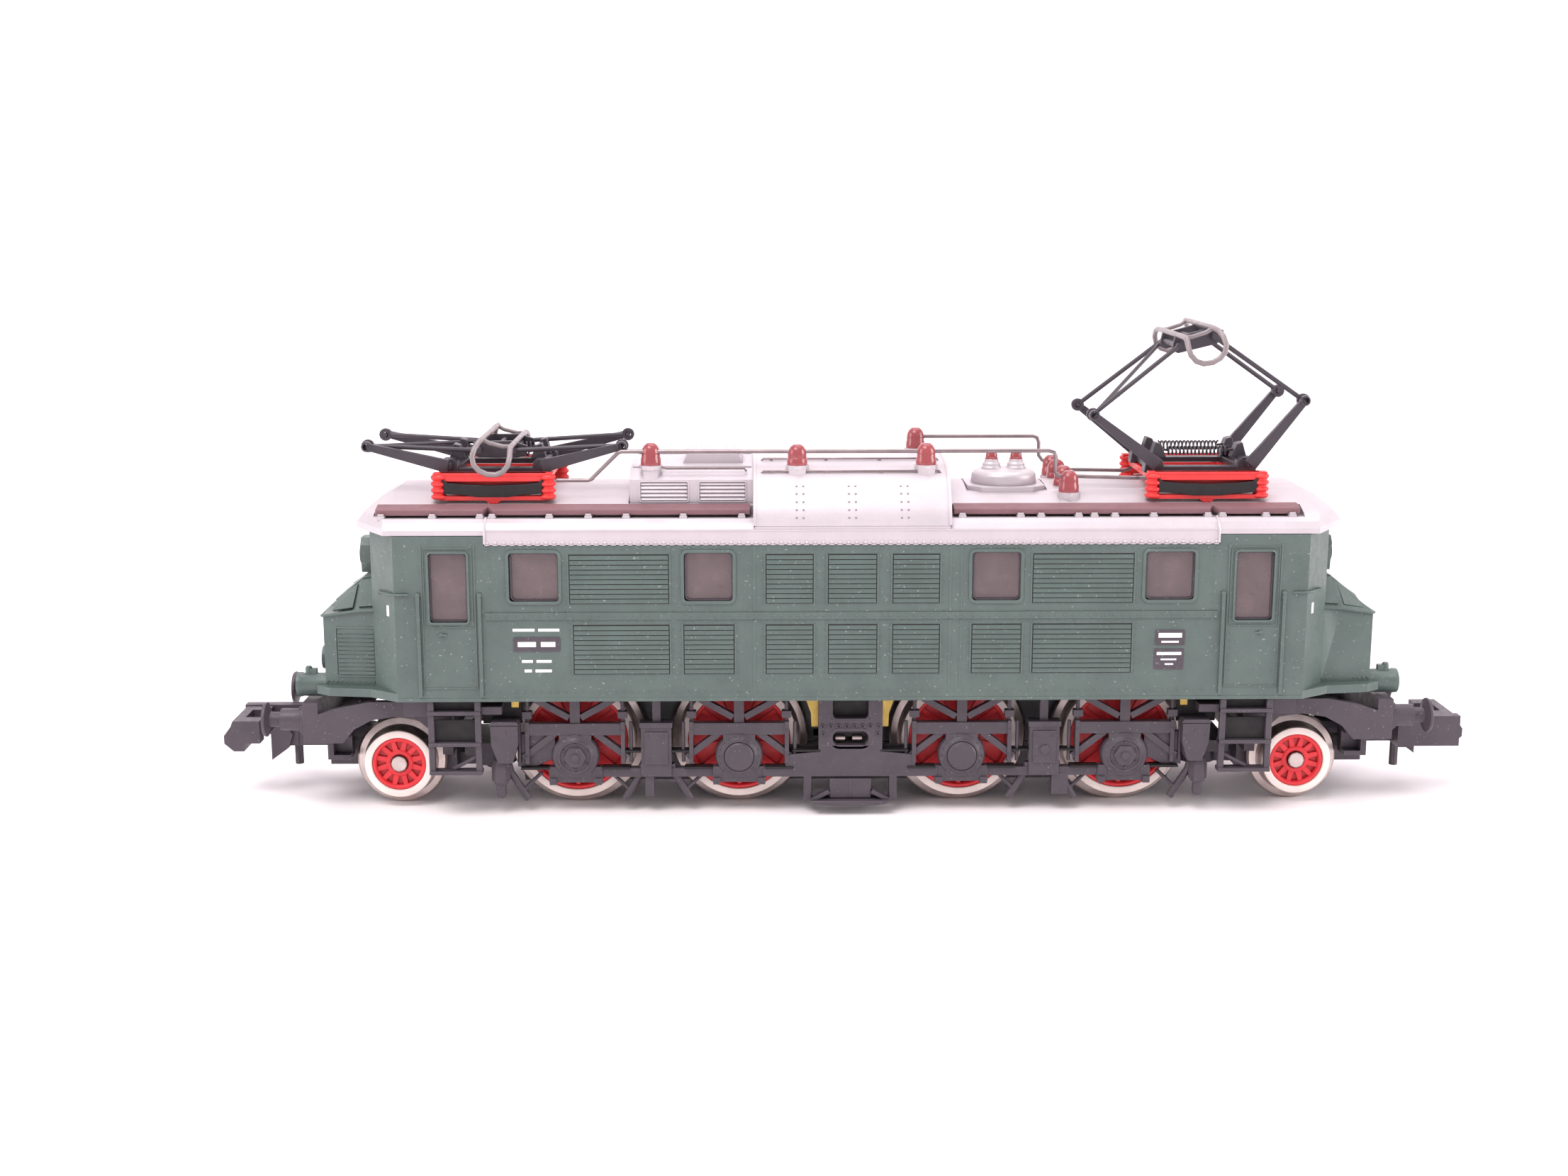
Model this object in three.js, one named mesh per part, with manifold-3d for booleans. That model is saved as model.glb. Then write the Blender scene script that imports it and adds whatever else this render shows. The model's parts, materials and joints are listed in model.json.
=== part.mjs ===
// Model electric locomotive, N gauge (1:160), wheel arrangement 1'Do1'.
// Millimetres. +X runs along the locomotive, -Y is the near side, +Z is up.
// The origin is on the rail plane of the wheel flanges, under the middle of the locomotive.
import * as THREE from "three";
import { mergeVertices } from "three/addons/utils/BufferGeometryUtils.js";
import Module from "manifold-3d";

const wasm = await Module();
wasm.setup();

// ---------------------------------------------------------------- driving dimensions
const GAP = 0.1; // clearance between pieces that rest on each other
const RUN = 0.15; // radial clearance of a turning pin in its bore

// Wheelsets
const DRIVER_X = [-23.2, -9.4, 9.4, 23.2];
const DRIVER_TREAD_R = 5.0;
const CARRIER_X = 38.44;
const CARRIER_TREAD_R = 2.95;
const FLANGE_H = 0.9;
const WHEEL_IN_Y = 3.7; // inner face of a wheel
const WHEEL_W = 2.2;
const WHEEL_SIDES = 16;
const WEB = 1.45; // how far the wheel centre's face lies from the inner face
const AXLE_R = 0.7;
const DRIVER_Z = DRIVER_TREAD_R + FLANGE_H;
const CARRIER_Z = CARRIER_TREAD_R + FLANGE_H;

// Gear train: single-start worm, intermediate gear, axle gear, idler, outer axle gear
const MODULE = 0.46;
const AXLE_TEETH = 16;
const IDLER_TEETH = 14;
const GEAR_W = 1.6;
const TOOTH_PLAY = 0.05; // taken off each tooth flank
const AXLE_GEAR_R = (MODULE * AXLE_TEETH) / 2;
const IDLER_R = (MODULE * IDLER_TEETH) / 2;
const CENTRES = AXLE_GEAR_R + IDLER_R;
const WORM_R = 0.8;
const MIDDLE_GEAR_Z = DRIVER_Z + CENTRES;
const SHAFT_Z = MIDDLE_GEAR_Z + IDLER_R + MODULE + WORM_R + GAP;

// Body shell and roof
const BODY_Y = 9.3;
const WALL = 0.9;
const SILL_Z = 10.2;
const EAVE_Z = 23.35;
const CAB_EAVE_Z = 24.15;
const CAB_X = 30.2; // where the cab part of the body starts
const CORNER_X = 37.65; // end of the straight side
const FRONT_X = 40.0; // cab front wall
const FRONT_Y = 6.4; // half width of the cab front wall
const ROOF_TIP_X = 41.3;
const ROOF_TIP_Y = 5.0;
const ROOF_TIP_Z = 24.75;
const ROOF_CORNER_X = 38.4; // where the slanted roof corners meet the straight side
const ROOF_END_CURVE = [[40.5, 25.75], [39.4, 26.65], [38.0, 27.35], [36.4, 27.9]];
const ROOF_SIDE_Z = 24.95;
const ROOF_RISE = 2.4;
const HUMP_X = 8.0;
const HUMP_Z = 29.5;

// Windows: [low x, high x] on the side, all at one height
const SIDE_WINDOWS = [
  [-28.2, -24.15],
  [-13.85, -9.85],
  [9.85, 13.85],
  [24.15, 28.2],
];
const WINDOW_Z = [18.7, 22.75];
const DOOR_WINDOW_X = [31.65, 34.75];
const DOOR_WINDOW_Z = [16.96, 22.71];
const FRONT_WINDOW_Y = [1.9, 5.2];
const FRONT_WINDOW_Z = [20.2, 22.9];

// Trim on the body side
const BELT_Z = [17.2, 17.75];
const BELT_PROUD = 0.12;
const RAIL_X = [30.65, 35.7];
const RAIL_Z = [10.7, 19.3];
const RAIL_R = 0.13;
const RAIL_PROUD = 0.25;

const PANTO_X = 29.7;
const BASE_HALF_X = 4.95;
const BASE_Z = [26.5, 28.9];
const ARM_PIVOT_X = 3.9;
const ARM_PIVOT_Z = 29.25;
const LOWER_ARM = 6.9;
const UPPER_ARM = 9.15;
const HEAD_PIVOT_X = 1.5;
const KNEE_Y = 4.5;
const PIN_R = 0.2;
const HEAD_HALF_Y = 7.0;

// Pony trucks and couplers, drawn for the left end
const TRUCK_PIVOT_X = -31.0;
const HEADSTOCK_X = -46.2;
const BUFFER_FACE_X = -49.9;
const BUFFER_Y = 5.47;
const BUFFER_Z = 7.74;
const COUPLER_PIVOT_X = -44.6;
const COUPLER_PIN_R = 0.4;
const COUPLER_TIP_X = -54.0;
const COUPLER_ARM_X = -53.4;

// ---------------------------------------------------------------- solids
function solid(geometry) {
  const bare = geometry.clone();
  bare.deleteAttribute("normal");
  bare.deleteAttribute("uv");
  const merged = mergeVertices(bare, 1e-4);
  return new wasm.Manifold(
    new wasm.Mesh({
      numProp: 3,
      vertProperties: new Float32Array(merged.attributes.position.array),
      triVerts: new Uint32Array(merged.index.array),
    }),
  );
}

const join = (...parts) => parts.reduce((a, b) => a.add(b));
const cut = (base, ...tools) => tools.reduce((a, b) => a.subtract(b), base);
const common = (...parts) => parts.reduce((a, b) => a.intersect(b));

function geometryOf(body) {
  const mesh = body.getMesh();
  const geometry = new THREE.BufferGeometry();
  geometry.setAttribute("position", new THREE.BufferAttribute(mesh.vertProperties, 3));
  geometry.setIndex(new THREE.BufferAttribute(mesh.triVerts, 1));
  return geometry;
}

function box([x0, x1], [y0, y1], [z0, z1]) {
  const geometry = new THREE.BoxGeometry(x1 - x0, y1 - y0, z1 - z0);
  return solid(geometry.translate((x0 + x1) / 2, (y0 + y1) / 2, (z0 + z1) / 2));
}

// The same box on both sides of the centre line
const boxPair = (x, [y0, y1], z) => join(box(x, [y0, y1], z), box(x, [-y1, -y0], z));

// A prism of an outline: AXIS is the direction that the outline is pushed along
const BASES = {
  x: [[0, 1, 0], [0, 0, 1], [1, 0, 0]], // outline in (y, z)
  y: [[1, 0, 0], [0, 0, 1], [0, -1, 0]], // outline in (x, z)
  z: [[1, 0, 0], [0, 1, 0], [0, 0, 1]], // outline in (x, y)
};

function prism(axis, outline, [from, to]) {
  const shape = new THREE.Shape(outline.map(([a, b]) => new THREE.Vector2(a, b)));
  const geometry = new THREE.ExtrudeGeometry(shape, { depth: to - from, bevelEnabled: false });
  const turn = new THREE.Matrix4().makeBasis(...BASES[axis].map((v) => new THREE.Vector3(...v)));
  geometry.applyMatrix4(turn);
  const start = { x: [from, 0, 0], y: [0, to, 0], z: [0, 0, from] }[axis];
  return solid(geometry.translate(...start));
}

// A turned piece: profile of [radius, distance along the axis]
function turned(axis, profile, sides, [x, y, z]) {
  const points = profile.map(([r, h]) => new THREE.Vector2(r, h));
  const geometry = new THREE.LatheGeometry(points, sides);
  if (axis === "x") geometry.rotateZ(-Math.PI / 2);
  if (axis === "z") geometry.rotateX(Math.PI / 2);
  return solid(geometry.translate(x, y, z));
}

const disc = (axis, r, [from, to], centre, sides = 12) =>
  turned(axis, [[0, from], [r, from], [r, to], [0, to]], sides, centre);

// A straight round rod between two points
function rod(a, b, r, sides = 6) {
  const from = new THREE.Vector3(...a);
  const along = new THREE.Vector3(...b).sub(from);
  const geometry = new THREE.CylinderGeometry(r, r, along.length(), sides);
  geometry.translate(0, along.length() / 2, 0);
  const turn = new THREE.Quaternion().setFromUnitVectors(
    new THREE.Vector3(0, 1, 0),
    along.normalize(),
  );
  return solid(geometry.applyQuaternion(turn).translate(from.x, from.y, from.z));
}

// A round bar along a list of points, bent at each one; every stretch runs on a little
// past its bend, so that the stretches join
function bentBar(points, r) {
  const stretches = points.slice(1).map((to, i) => {
    const end = new THREE.Vector3(...to);
    const past = end.clone().sub(new THREE.Vector3(...points[i])).setLength(r * 0.7);
    return rod(points[i], end.add(past).toArray(), r, 6);
  });
  return join(...stretches);
}

const mirrorY = (outline) => outline.map(([x, y]) => [x, -y]).reverse();
const mirrorX = (outline) => outline.map(([x, y]) => [-x, y]).reverse();

// ---------------------------------------------------------------- materials and nodes
const paint = (color, roughness, metalness = 0) =>
  new THREE.MeshStandardMaterial({ color, roughness, metalness });
const MATERIALS = {
  green: paint(0x2f4a3c, 0.6),
  silver: paint(0xc9c3c6, 0.45, 0.3),
  black: paint(0x2b272d, 0.55),
  brown: paint(0x4a2c2e, 0.6),
  insulator: paint(0x7c2f2c, 0.4),
  red: paint(0xd8262c, 0.45),
  redCentre: paint(0xd83a30, 0.4),
  steel: paint(0x8a8686, 0.35, 0.9),
  darkMetal: paint(0x3a3540, 0.4, 0.6),
  brass: paint(0xb08a45, 0.35, 0.9),
  window: paint(0xb09aa0, 0.2),
  zinc: paint(0x77767a, 0.5, 0.8),
  gear: paint(0xd8cfbe, 0.5),
};

function node(parent, name, body, material) {
  const mesh = new THREE.Mesh(geometryOf(body), MATERIALS[material]);
  mesh.name = name;
  parent.add(mesh);
  return mesh;
}

const locomotive = new THREE.Group();

function group(parent, x = 0, turn = 0) {
  const g = new THREE.Group();
  g.position.x = x;
  g.rotation.z = turn;
  parent.add(g);
  return g;
}

// ---------------------------------------------------------------- wheelsets
// A wheel about the Y axis, its inner face at y = 0 and its outer face at y = WHEEL_W
function wheel(treadR) {
  const flangeR = treadR + FLANGE_H;
  const rimR = treadR - 0.75;
  const bore = AXLE_R + RUN;
  const profile = [
    [bore, 0], [flangeR, 0.1], [flangeR - 0.1, 0.55], [treadR, 0.75], [treadR - 0.08, WHEEL_W],
    [rimR, WHEEL_W], [rimR - 0.1, WEB], [bore, WEB], [bore, 0],
  ];
  return turned("y", profile, WHEEL_SIDES, [0, 0, 0]);
}

// Gear outline with straight-sided teeth; PHASE turns it by that share of one tooth
function gearOutline(teeth, phase) {
  const r = (MODULE * teeth) / 2;
  const pitch = (2 * Math.PI) / teeth;
  const points = [];
  const half = (radius, share) => share * pitch - TOOTH_PLAY / radius;
  for (let i = 0; i < teeth; i++) {
    const a = (i + phase) * pitch;
    const at = (radius, turn) => points.push([radius * Math.cos(a + turn), radius * Math.sin(a + turn)]);
    const root = r - 1.2 * MODULE;
    const tip = r + 0.9 * MODULE;
    at(root, -half(root, 0.36));
    at(tip, -half(tip, 0.13));
    at(tip, half(tip, 0.13));
    at(root, half(root, 0.36));
  }
  return points;
}

const gear = (teeth, phase) => prism("y", gearOutline(teeth, phase), [-GEAR_W / 2, GEAR_W / 2]);

function wheelset(parent, name, x, z, treadR, withGear) {
  const g = group(parent, x);
  g.position.z = z;
  const near = node(g, `${name}_wheel_near`, wheel(treadR), "redCentre");
  near.position.y = -WHEEL_IN_Y;
  near.rotation.z = Math.PI;
  const far = node(g, `${name}_wheel_far`, wheel(treadR), "redCentre");
  far.position.y = WHEEL_IN_Y;
  const half = WHEEL_IN_Y + WHEEL_W - 0.05;
  const axle = disc("y", AXLE_R, [-half, half], [0, 0, 0], 8);
  node(g, `${name}_axle`, withGear ? join(axle, gear(AXLE_TEETH, 0)) : axle, "steel");
}

DRIVER_X.forEach((x, i) => {
  wheelset(locomotive, `driver_${i + 1}`, x, DRIVER_Z, DRIVER_TREAD_R, true);
});

const STUB = 3.1; // half length of an idler's stub shaft
function idler(name, x, z, phase) {
  const g = group(locomotive, x);
  g.position.z = z;
  const body = join(gear(IDLER_TEETH, phase), disc("y", 0.55, [-STUB, STUB], [0, 0, 0], 8));
  node(g, name, body, "gear");
}
// The idler lies between two axle gears: 14 teeth put a tooth at both ends of its diameter,
// and 16 teeth do the same on the axle, so half a tooth of phase brings them into mesh.
idler("idler_gear_left", (DRIVER_X[0] + DRIVER_X[1]) / 2, DRIVER_Z, 0.5);
idler("idler_gear_right", (DRIVER_X[2] + DRIVER_X[3]) / 2, DRIVER_Z, 0.5);
// Above the axle: the axle gear has a tooth at its top (16 / 4 teeth round), the middle gear
// must have a gap at its bottom (14 / 4 = 3.5 teeth round, so phase 0 puts a gap there).
idler("middle_gear_left", DRIVER_X[1], MIDDLE_GEAR_Z, 0);
idler("middle_gear_right", DRIVER_X[2], MIDDLE_GEAR_Z, 0);

// ---------------------------------------------------------------- motor
const MOTOR_X = 5.5;
const ARMATURE_R = 3.7;
const MOTOR_Z = [13.0, 22.2];

function motorFrame() {
  const outer = box([-MOTOR_X, MOTOR_X], [-5.6, 5.6], MOTOR_Z);
  const through = box([-MOTOR_X + 0.9, MOTOR_X - 0.9], [-4.2, 4.2], [MOTOR_Z[0] - 1, MOTOR_Z[1] + 1]);
  const bearings = disc("x", 0.5 + RUN, [-20, 20], [0, 0, SHAFT_Z], 8);
  return cut(outer, through, bearings);
}
node(locomotive, "motor_frame", motorFrame(), "darkMetal");

function armature() {
  const wormMiddle = DRIVER_X[2];
  const half = [
    [0.5, 4.2], [0.5, wormMiddle - 2.2], [WORM_R, wormMiddle - 2.2],
    [WORM_R, wormMiddle + 2.2], [0.5, wormMiddle + 2.2], [0.5, wormMiddle + 3.2], [0, wormMiddle + 3.2],
  ];
  const core = [[ARMATURE_R, -3.4], [ARMATURE_R, 3.4], [1.8, 3.4], [1.8, 4.2]];
  const back = half.map(([r, x]) => [r, -x]).reverse();
  return turned("x", [...back, [1.8, -4.2], [1.8, -3.4], ...core, ...half], 12, [0, 0, SHAFT_Z]);
}
node(locomotive, "motor_armature", armature(), "brass");

// ---------------------------------------------------------------- chassis
const KEEL_Y = 3.2;
const SLOT_Y = GEAR_W / 2 + 0.35;
const DECK_Z = [12.2, 14.4];
const DECK_Y = 8.1;
const CHASSIS_X = 29.0;
const KEEPER_TOP_Z = 4.9;

function chassis() {
  const keel = box([-CHASSIS_X, CHASSIS_X], [-KEEL_Y, KEEL_Y], [KEEPER_TOP_Z + GAP, DECK_Z[1]]);
  const deck = box([-CHASSIS_X, CHASSIS_X], [-DECK_Y, DECK_Y], DECK_Z);
  const weights = [-1, 1].map((side) => {
    const x = [side * 14.2, side * CHASSIS_X].sort((a, b) => a - b);
    return box(x, [-7.2, 7.2], [DECK_Z[0], 22.0]);
  });
  const gearSlot = box([-27.6, 27.6], [-SLOT_Y, SLOT_Y], [0, 11.6]);
  const middleSlots = [DRIVER_X[1], DRIVER_X[2]].map((x) =>
    box([x - 4.2, x + 4.2], [-SLOT_Y, SLOT_Y], [11, 30]),
  );
  const motorWell = box([-13.4, 13.4], [-5.9, 5.9], [MOTOR_Z[0] - 0.25, 30]);
  // Slots for the shafts, open at the side that each is put in from
  const axleSlots = DRIVER_X.map((x) =>
    box([x - AXLE_R - RUN, x + AXLE_R + RUN], [-9, 9], [0, DRIVER_Z + AXLE_R + RUN]),
  );
  const idlerSlots = [-1, 1].map((side) => {
    const x = (side * (DRIVER_X[2] + DRIVER_X[3])) / 2;
    return box([x - 0.7, x + 0.7], [-9, 9], [0, DRIVER_Z + 0.7]);
  });
  const middleShafts = [DRIVER_X[1], DRIVER_X[2]].map((x) =>
    box([x - 0.7, x + 0.7], [-STUB - 0.3, STUB + 0.3], [MIDDLE_GEAR_Z - 0.7, 30]),
  );
  const crossSlot = box([-3.0, 3.0], [-9, 9], [0, 10.2]);
  const truckNotches = [-1, 1].map((side) => {
    const x = [side * 28.2, side * 40].sort((a, b) => a - b);
    return box(x, [-9, 9], [0, 9]);
  });
  return cut(join(keel, deck, ...weights), gearSlot, motorWell, ...middleSlots, ...axleSlots,
    ...idlerSlots, ...middleShafts, crossSlot, ...truckNotches);
}
node(locomotive, "chassis_block", chassis(), "zinc");

// The keeper closes the slots from below and covers the gears with a trough; its two ends
// carry the pins that the pony trucks swivel on
function keeperPlate() {
  const plate = box([-33.2, 33.2], [-KEEL_Y, KEEL_Y], [3.9, KEEPER_TOP_Z]);
  const trough = box([-28.2, 28.2], [-1.9, 1.9], [1.2, KEEPER_TOP_Z]);
  const hollow = box([-27.8, 27.8], [-SLOT_Y, SLOT_Y], [1.55, 30]);
  const bridges = box([-2.4, 2.4], [-1.5, 1.5], [1.3, KEEPER_TOP_Z]);
  const pins = [-1, 1].map((side) => disc("z", 0.8, [2.0, 4.2], [-side * TRUCK_PIVOT_X, 0, 0], 12));
  return join(cut(join(plate, trough), hollow), bridges, ...pins);
}
node(locomotive, "keeper_plate", keeperPlate(), "black");

// ---------------------------------------------------------------- side frames
const FRAME_Y = [6.7, 7.9];
const FRAME_TOP_Z = DECK_Z[0] - GAP;

// Near side frame. The far one is the same piece turned half a turn about Z.
function sideFrame() {
  const y = [-FRAME_Y[1], -FRAME_Y[0]];
  const both = (make) => join(make(1), make(-1));
  const span = (side, a, b) => [side * a, side * b].sort((p, q) => p - q);
  const lowerBeam = box([-30.0, 30.0], y, [3.2, 4.5]);
  const upperBeam = box([-30.0, 30.0], y, [6.9, 7.75]);
  const topRail = box([-30.0, 30.0], y, [10.6, FRAME_TOP_Z]);
  const centre = cut(
    join(box([-2.7, 2.7], y, [4.0, 10.8]), box([-5.0, 5.0], y, [3.2, 5.4])),
    box([-1.6, 1.6], [-20, 0], [8.0, 9.9]),
    box([-1.7, 1.6], [-20, 0], [5.8, 7.0]),
  );
  const legs = both((s) => box(span(s, 4.0, 4.6), y, [1.2, 3.4]));
  const step = box([-4.6, 4.6], [-8.6, -7.2], [0.7, 1.25]);
  const blocks = both((s) => box(span(s, 15.1, 17.6), [-8.1, -6.7], [3.2, 10.8]));
  const endPosts = both((s) => box(span(s, 28.4, 30.0), y, [3.2, 10.8]));
  const sandBoxes = both((s) =>
    turned("z", [[0, 1.3], [0.5, 1.3], [0.5, 2.6], [1.35, 4.2], [1.35, 8.4], [0.9, 9.2], [0, 9.2]],
      8, [s * 29.3, -7.7, 0]),
  );
  const axleBoxes = DRIVER_X.map((x) =>
    join(
      box([x - 2.0, x + 2.0], y, [3.2, 7.8]),
      turned("y", [[0, -8.5], [1.3, -8.5], [1.9, -8.1], [1.9, -7.0], [0, -7.0]], 10, [x, 0, 5.05]),
    ),
  );
  const braces = DRIVER_X.map((x) =>
    join(...[-1, 1].map((s) => {
      const outline = [[x + s * 0.6, 7.4], [x + s * 1.6, 7.4], [x + s * 4.9, 10.9], [x + s * 3.9, 10.9]];
      return prism("y", s > 0 ? outline : outline.reverse(), [-7.7, -6.9]);
    })),
  );
  const pipes = DRIVER_X.map((x) =>
    join(...[-1, 1].map((s) =>
      rod([x + s * 5.4, -7.3, 3.6], [x + s * 4.0, -7.1, 1.3], 0.28, 5))),
  );
  const ladders = both((s) => {
    const rails = join(
      box(span(s, 30.9, 31.4), [-9.0, -8.4], [4.0, 10.15]),
      box(span(s, 34.8, 35.3), [-9.0, -8.4], [4.0, 10.15]),
    );
    const treads = [9.1, 6.5, 4.0].map((z) => box(span(s, 30.9, 35.3), [-9.2, -8.2], [z, z + 0.4]));
    const hanger = box(span(s, 29.2, 31.2), [-8.6, -6.9], [8.9, 9.6]);
    return join(hanger, rails, ...treads);
  });
  return join(lowerBeam, upperBeam, topRail, centre, legs, step, blocks, endPosts, sandBoxes,
    ...axleBoxes, ...braces, ...pipes, ladders);
}
node(locomotive, "side_frame_near", sideFrame(), "black");
const farFrame = node(locomotive, "side_frame_far", sideFrame(), "black");
farFrame.rotation.z = Math.PI;

// ---------------------------------------------------------------- body shell
// Outline of the body seen from above, shrunk by INSET
function bodyPlan(inset) {
  const quarter = [[FRONT_X - inset, FRONT_Y - inset * 0.6], [CORNER_X - inset * 0.4, BODY_Y - inset]];
  const near = [...quarter, ...mirrorX(quarter)];
  return [...near, ...mirrorY(near)];
}

// A hood in front of the cab, as three cross-sections joined by straight faces
function hood(side, inset, floor) {
  const stations = [
    { x: FRONT_X - 0.8, y: 6.4, shoulder: 17.5, top: 19.8, flat: 3.4 },
    { x: 41.5, y: 6.25, shoulder: 17.35, top: 19.3, flat: 3.2 },
    { x: 44.3, y: 5.9, shoulder: 16.9, top: 17.05, flat: 2.8 },
  ].map((s, i) => {
    const y = s.y - inset;
    const section = [[-y, floor], [y, floor], [y, s.shoulder - inset], [s.flat, s.top - inset],
      [-s.flat, s.top - inset], [-y, s.shoulder - inset]];
    const x = i === 2 ? s.x - inset : s.x;
    return section.map(([a, z]) => [side * x, side * a, z]);
  });
  return loft(stations);
}

// Joins cross-sections with the same number of points into one closed body
function loft(stations) {
  const count = stations[0].length;
  const positions = stations.flat(2);
  const faces = [];
  for (let s = 0; s + 1 < stations.length; s++) {
    for (let i = 0; i < count; i++) {
      const a = s * count + i;
      const b = s * count + ((i + 1) % count);
      faces.push(a, b, b + count, a, b + count, a + count);
    }
  }
  const last = (stations.length - 1) * count;
  for (let i = 1; i + 1 < count; i++) {
    faces.push(0, i + 1, i);
    faces.push(last, last + i, last + i + 1);
  }
  const geometry = new THREE.BufferGeometry();
  geometry.setAttribute("position", new THREE.Float32BufferAttribute(positions, 3));
  geometry.setIndex(faces);
  return solid(geometry);
}

function footplate(side) {
  const tip = [[CORNER_X, BODY_Y], [40.2, 7.6], [43.8, 7.1], [45.0, 6.2], [45.2, 4.0]];
  const outline = [...tip, ...mirrorY(tip), [CORNER_X - 1, -BODY_Y], [CORNER_X - 1, BODY_Y]];
  const turnedOutline = outline.map(([x, y]) => [side * x, side * y]);
  return prism("z", turnedOutline, [SILL_Z, 10.9]);
}

function headlamps(side) {
  return [-5, 5].map((y) => {
    const at = side > 0 ? [44.2, 46.6] : [-46.6, -44.2];
    return join(disc("x", 1.0, at, [0, y, 10.7], 12), box(side > 0 ? [45.2, 46] : [-46, -45.2],
      [y - 0.25, y + 0.25], [11.2, 12.1]));
  });
}

function topLamp(side) {
  const face = [[-0.9, 19.6], [0.9, 19.6], [1.2, 22.0], [0.7, 22.6], [-0.7, 22.6], [-1.2, 22.0]];
  const x = side > 0 ? [39.6, 41.9] : [-41.9, -39.6];
  return prism("x", face, x);
}

// Raised belt along the side, and the handrails beside the doors
function sideTrim() {
  const rails = RAIL_X.flatMap((x) => [-1, 1].map((s) =>
    boxPair([s * x - RAIL_R, s * x + RAIL_R], [BODY_Y - 0.1, BODY_Y + RAIL_PROUD], RAIL_Z)));
  return join(boxPair([-CAB_X, CAB_X], [BODY_Y - 0.1, BODY_Y + BELT_PROUD], BELT_Z), ...rails);
}

function bodyShell() {
  const walls = join(
    prism("z", bodyPlan(0), [SILL_Z, CAB_EAVE_Z]),
    sideTrim(),
    ...[-1, 1].flatMap((s) => [hood(s, 0, 10.4), footplate(s), ...headlamps(s), topLamp(s)]),
  );
  const inside = join(
    prism("z", bodyPlan(WALL), [SILL_Z - 1, CAB_EAVE_Z + 1]),
    ...[-1, 1].map((s) => hood(s, WALL, SILL_Z - 1)),
    ...[-1, 1].map((s) => box(s > 0 ? [38.5, 41.2] : [-41.2, -38.5], [-3, 3], [SILL_Z - 1, 17.5])),
  );
  const lowEaves = box([-CAB_X, CAB_X], [-10, 10], [EAVE_Z, 30]);
  const windows = SIDE_WINDOWS.map((x) => box(x, [-20, 20], WINDOW_Z));
  const doors = [-1, 1].map((s) => {
    const x = DOOR_WINDOW_X.map((v) => s * v).sort((a, b) => a - b);
    return box(x, [-20, 20], DOOR_WINDOW_Z);
  });
  const fronts = boxPair([-60, 60], FRONT_WINDOW_Y, FRONT_WINDOW_Z);
  return cut(walls, inside, lowEaves, ...windows, ...doors, fronts);
}
node(locomotive, "body_shell", bodyShell(), "green");

// ---------------------------------------------------------------- glazing
// One clear moulding: a band inside the walls, with a lens standing into every window
function glazing() {
  const band = cut(
    prism("z", bodyPlan(WALL + GAP), [16.5, 23.1]),
    prism("z", bodyPlan(WALL + GAP + 0.5), [10, 30]),
  );
  const shrink = ([a, b]) => [a + GAP, b - GAP];
  const sideLenses = SIDE_WINDOWS.map((x) =>
    boxPair(shrink(x), [BODY_Y - WALL - GAP - 0.3, BODY_Y - 0.35], shrink(WINDOW_Z)),
  );
  const doorLenses = [-1, 1].map((s) => {
    const x = DOOR_WINDOW_X.map((v) => s * v).sort((a, b) => a - b);
    return boxPair(shrink(x), [BODY_Y - WALL - GAP - 0.3, BODY_Y - 0.35], shrink(DOOR_WINDOW_Z));
  });
  const frontLenses = [-1, 1].map((s) => {
    const x = [s * (FRONT_X - WALL - GAP - 0.3), s * (FRONT_X - 0.35)].sort((a, b) => a - b);
    return boxPair(x, shrink(FRONT_WINDOW_Y), shrink(FRONT_WINDOW_Z));
  });
  return join(band, ...sideLenses, ...doorLenses, ...frontLenses);
}
node(locomotive, "window_glazing", glazing(), "window");

// ---------------------------------------------------------------- roof
const roofHeight = (y) => ROOF_SIDE_Z + ROOF_RISE * (1 - (y / BODY_Y) ** 2);

function roofSection(drop, halfY) {
  const shoulder = halfY - 0.4;
  const points = [[halfY, 20], [halfY, ROOF_SIDE_Z - drop - 0.35], [shoulder, roofHeight(shoulder) - drop]];
  for (const share of [0.82, 0.66, 0.5, 0.33, 0.16]) {
    const y = halfY * share;
    points.push([y, roofHeight(y) - drop]);
  }
  return [...points, [0, roofHeight(0) - drop], ...mirrorPairs(points)];
}
const mirrorPairs = (points) => points.map(([y, z]) => [-y, z]).reverse();

// Outline of the roof from above: straight sides, slanted corners and pointed visors
function roofPlan(inset) {
  const corner = [[ROOF_TIP_X - inset, ROOF_TIP_Y - inset], [ROOF_CORNER_X - inset, BODY_Y - inset]];
  const half = [...corner, ...mirrorX(corner)];
  return [...half, ...mirrorY(half)];
}

// Outline of the roof from the side: it curves down to the visor at both ends
function roofSide() {
  const right = [[CAB_X - GAP, EAVE_Z + GAP / 2], [CAB_X - GAP, CAB_EAVE_Z + GAP / 2],
    [ROOF_TIP_X, CAB_EAVE_Z + GAP / 2], [ROOF_TIP_X, ROOF_TIP_Z], ...ROOF_END_CURVE];
  return [...right, ...mirrorX(right)];
}

// What is taken off the four roof corners, so that they fall to the edge of the visor:
// a steep strip along the edge and a gentler slope behind it
function cornerSlopes() {
  const middle = [(ROOF_TIP_X + ROOF_CORNER_X) / 2, (ROOF_TIP_Y + BODY_Y) / 2];
  const normal = [BODY_Y - ROOF_TIP_Y, ROOF_TIP_X - ROOF_CORNER_X];
  return [[60, ROOF_TIP_Z], [28, ROOF_TIP_Z + 0.55]].flatMap(([fall, edge]) =>
    [[1, 1], [1, -1], [-1, 1], [-1, -1]].map(([sx, sy]) => {
      const turn = THREE.MathUtils.radToDeg(Math.atan2(sy * normal[1], sx * normal[0]));
      const waste = box([-8, 4], [-8, 8], [0, 8]).rotate([0, fall, turn]);
      return waste.translate([sx * middle[0], sy * middle[1], edge]);
    }),
  );
}

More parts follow.
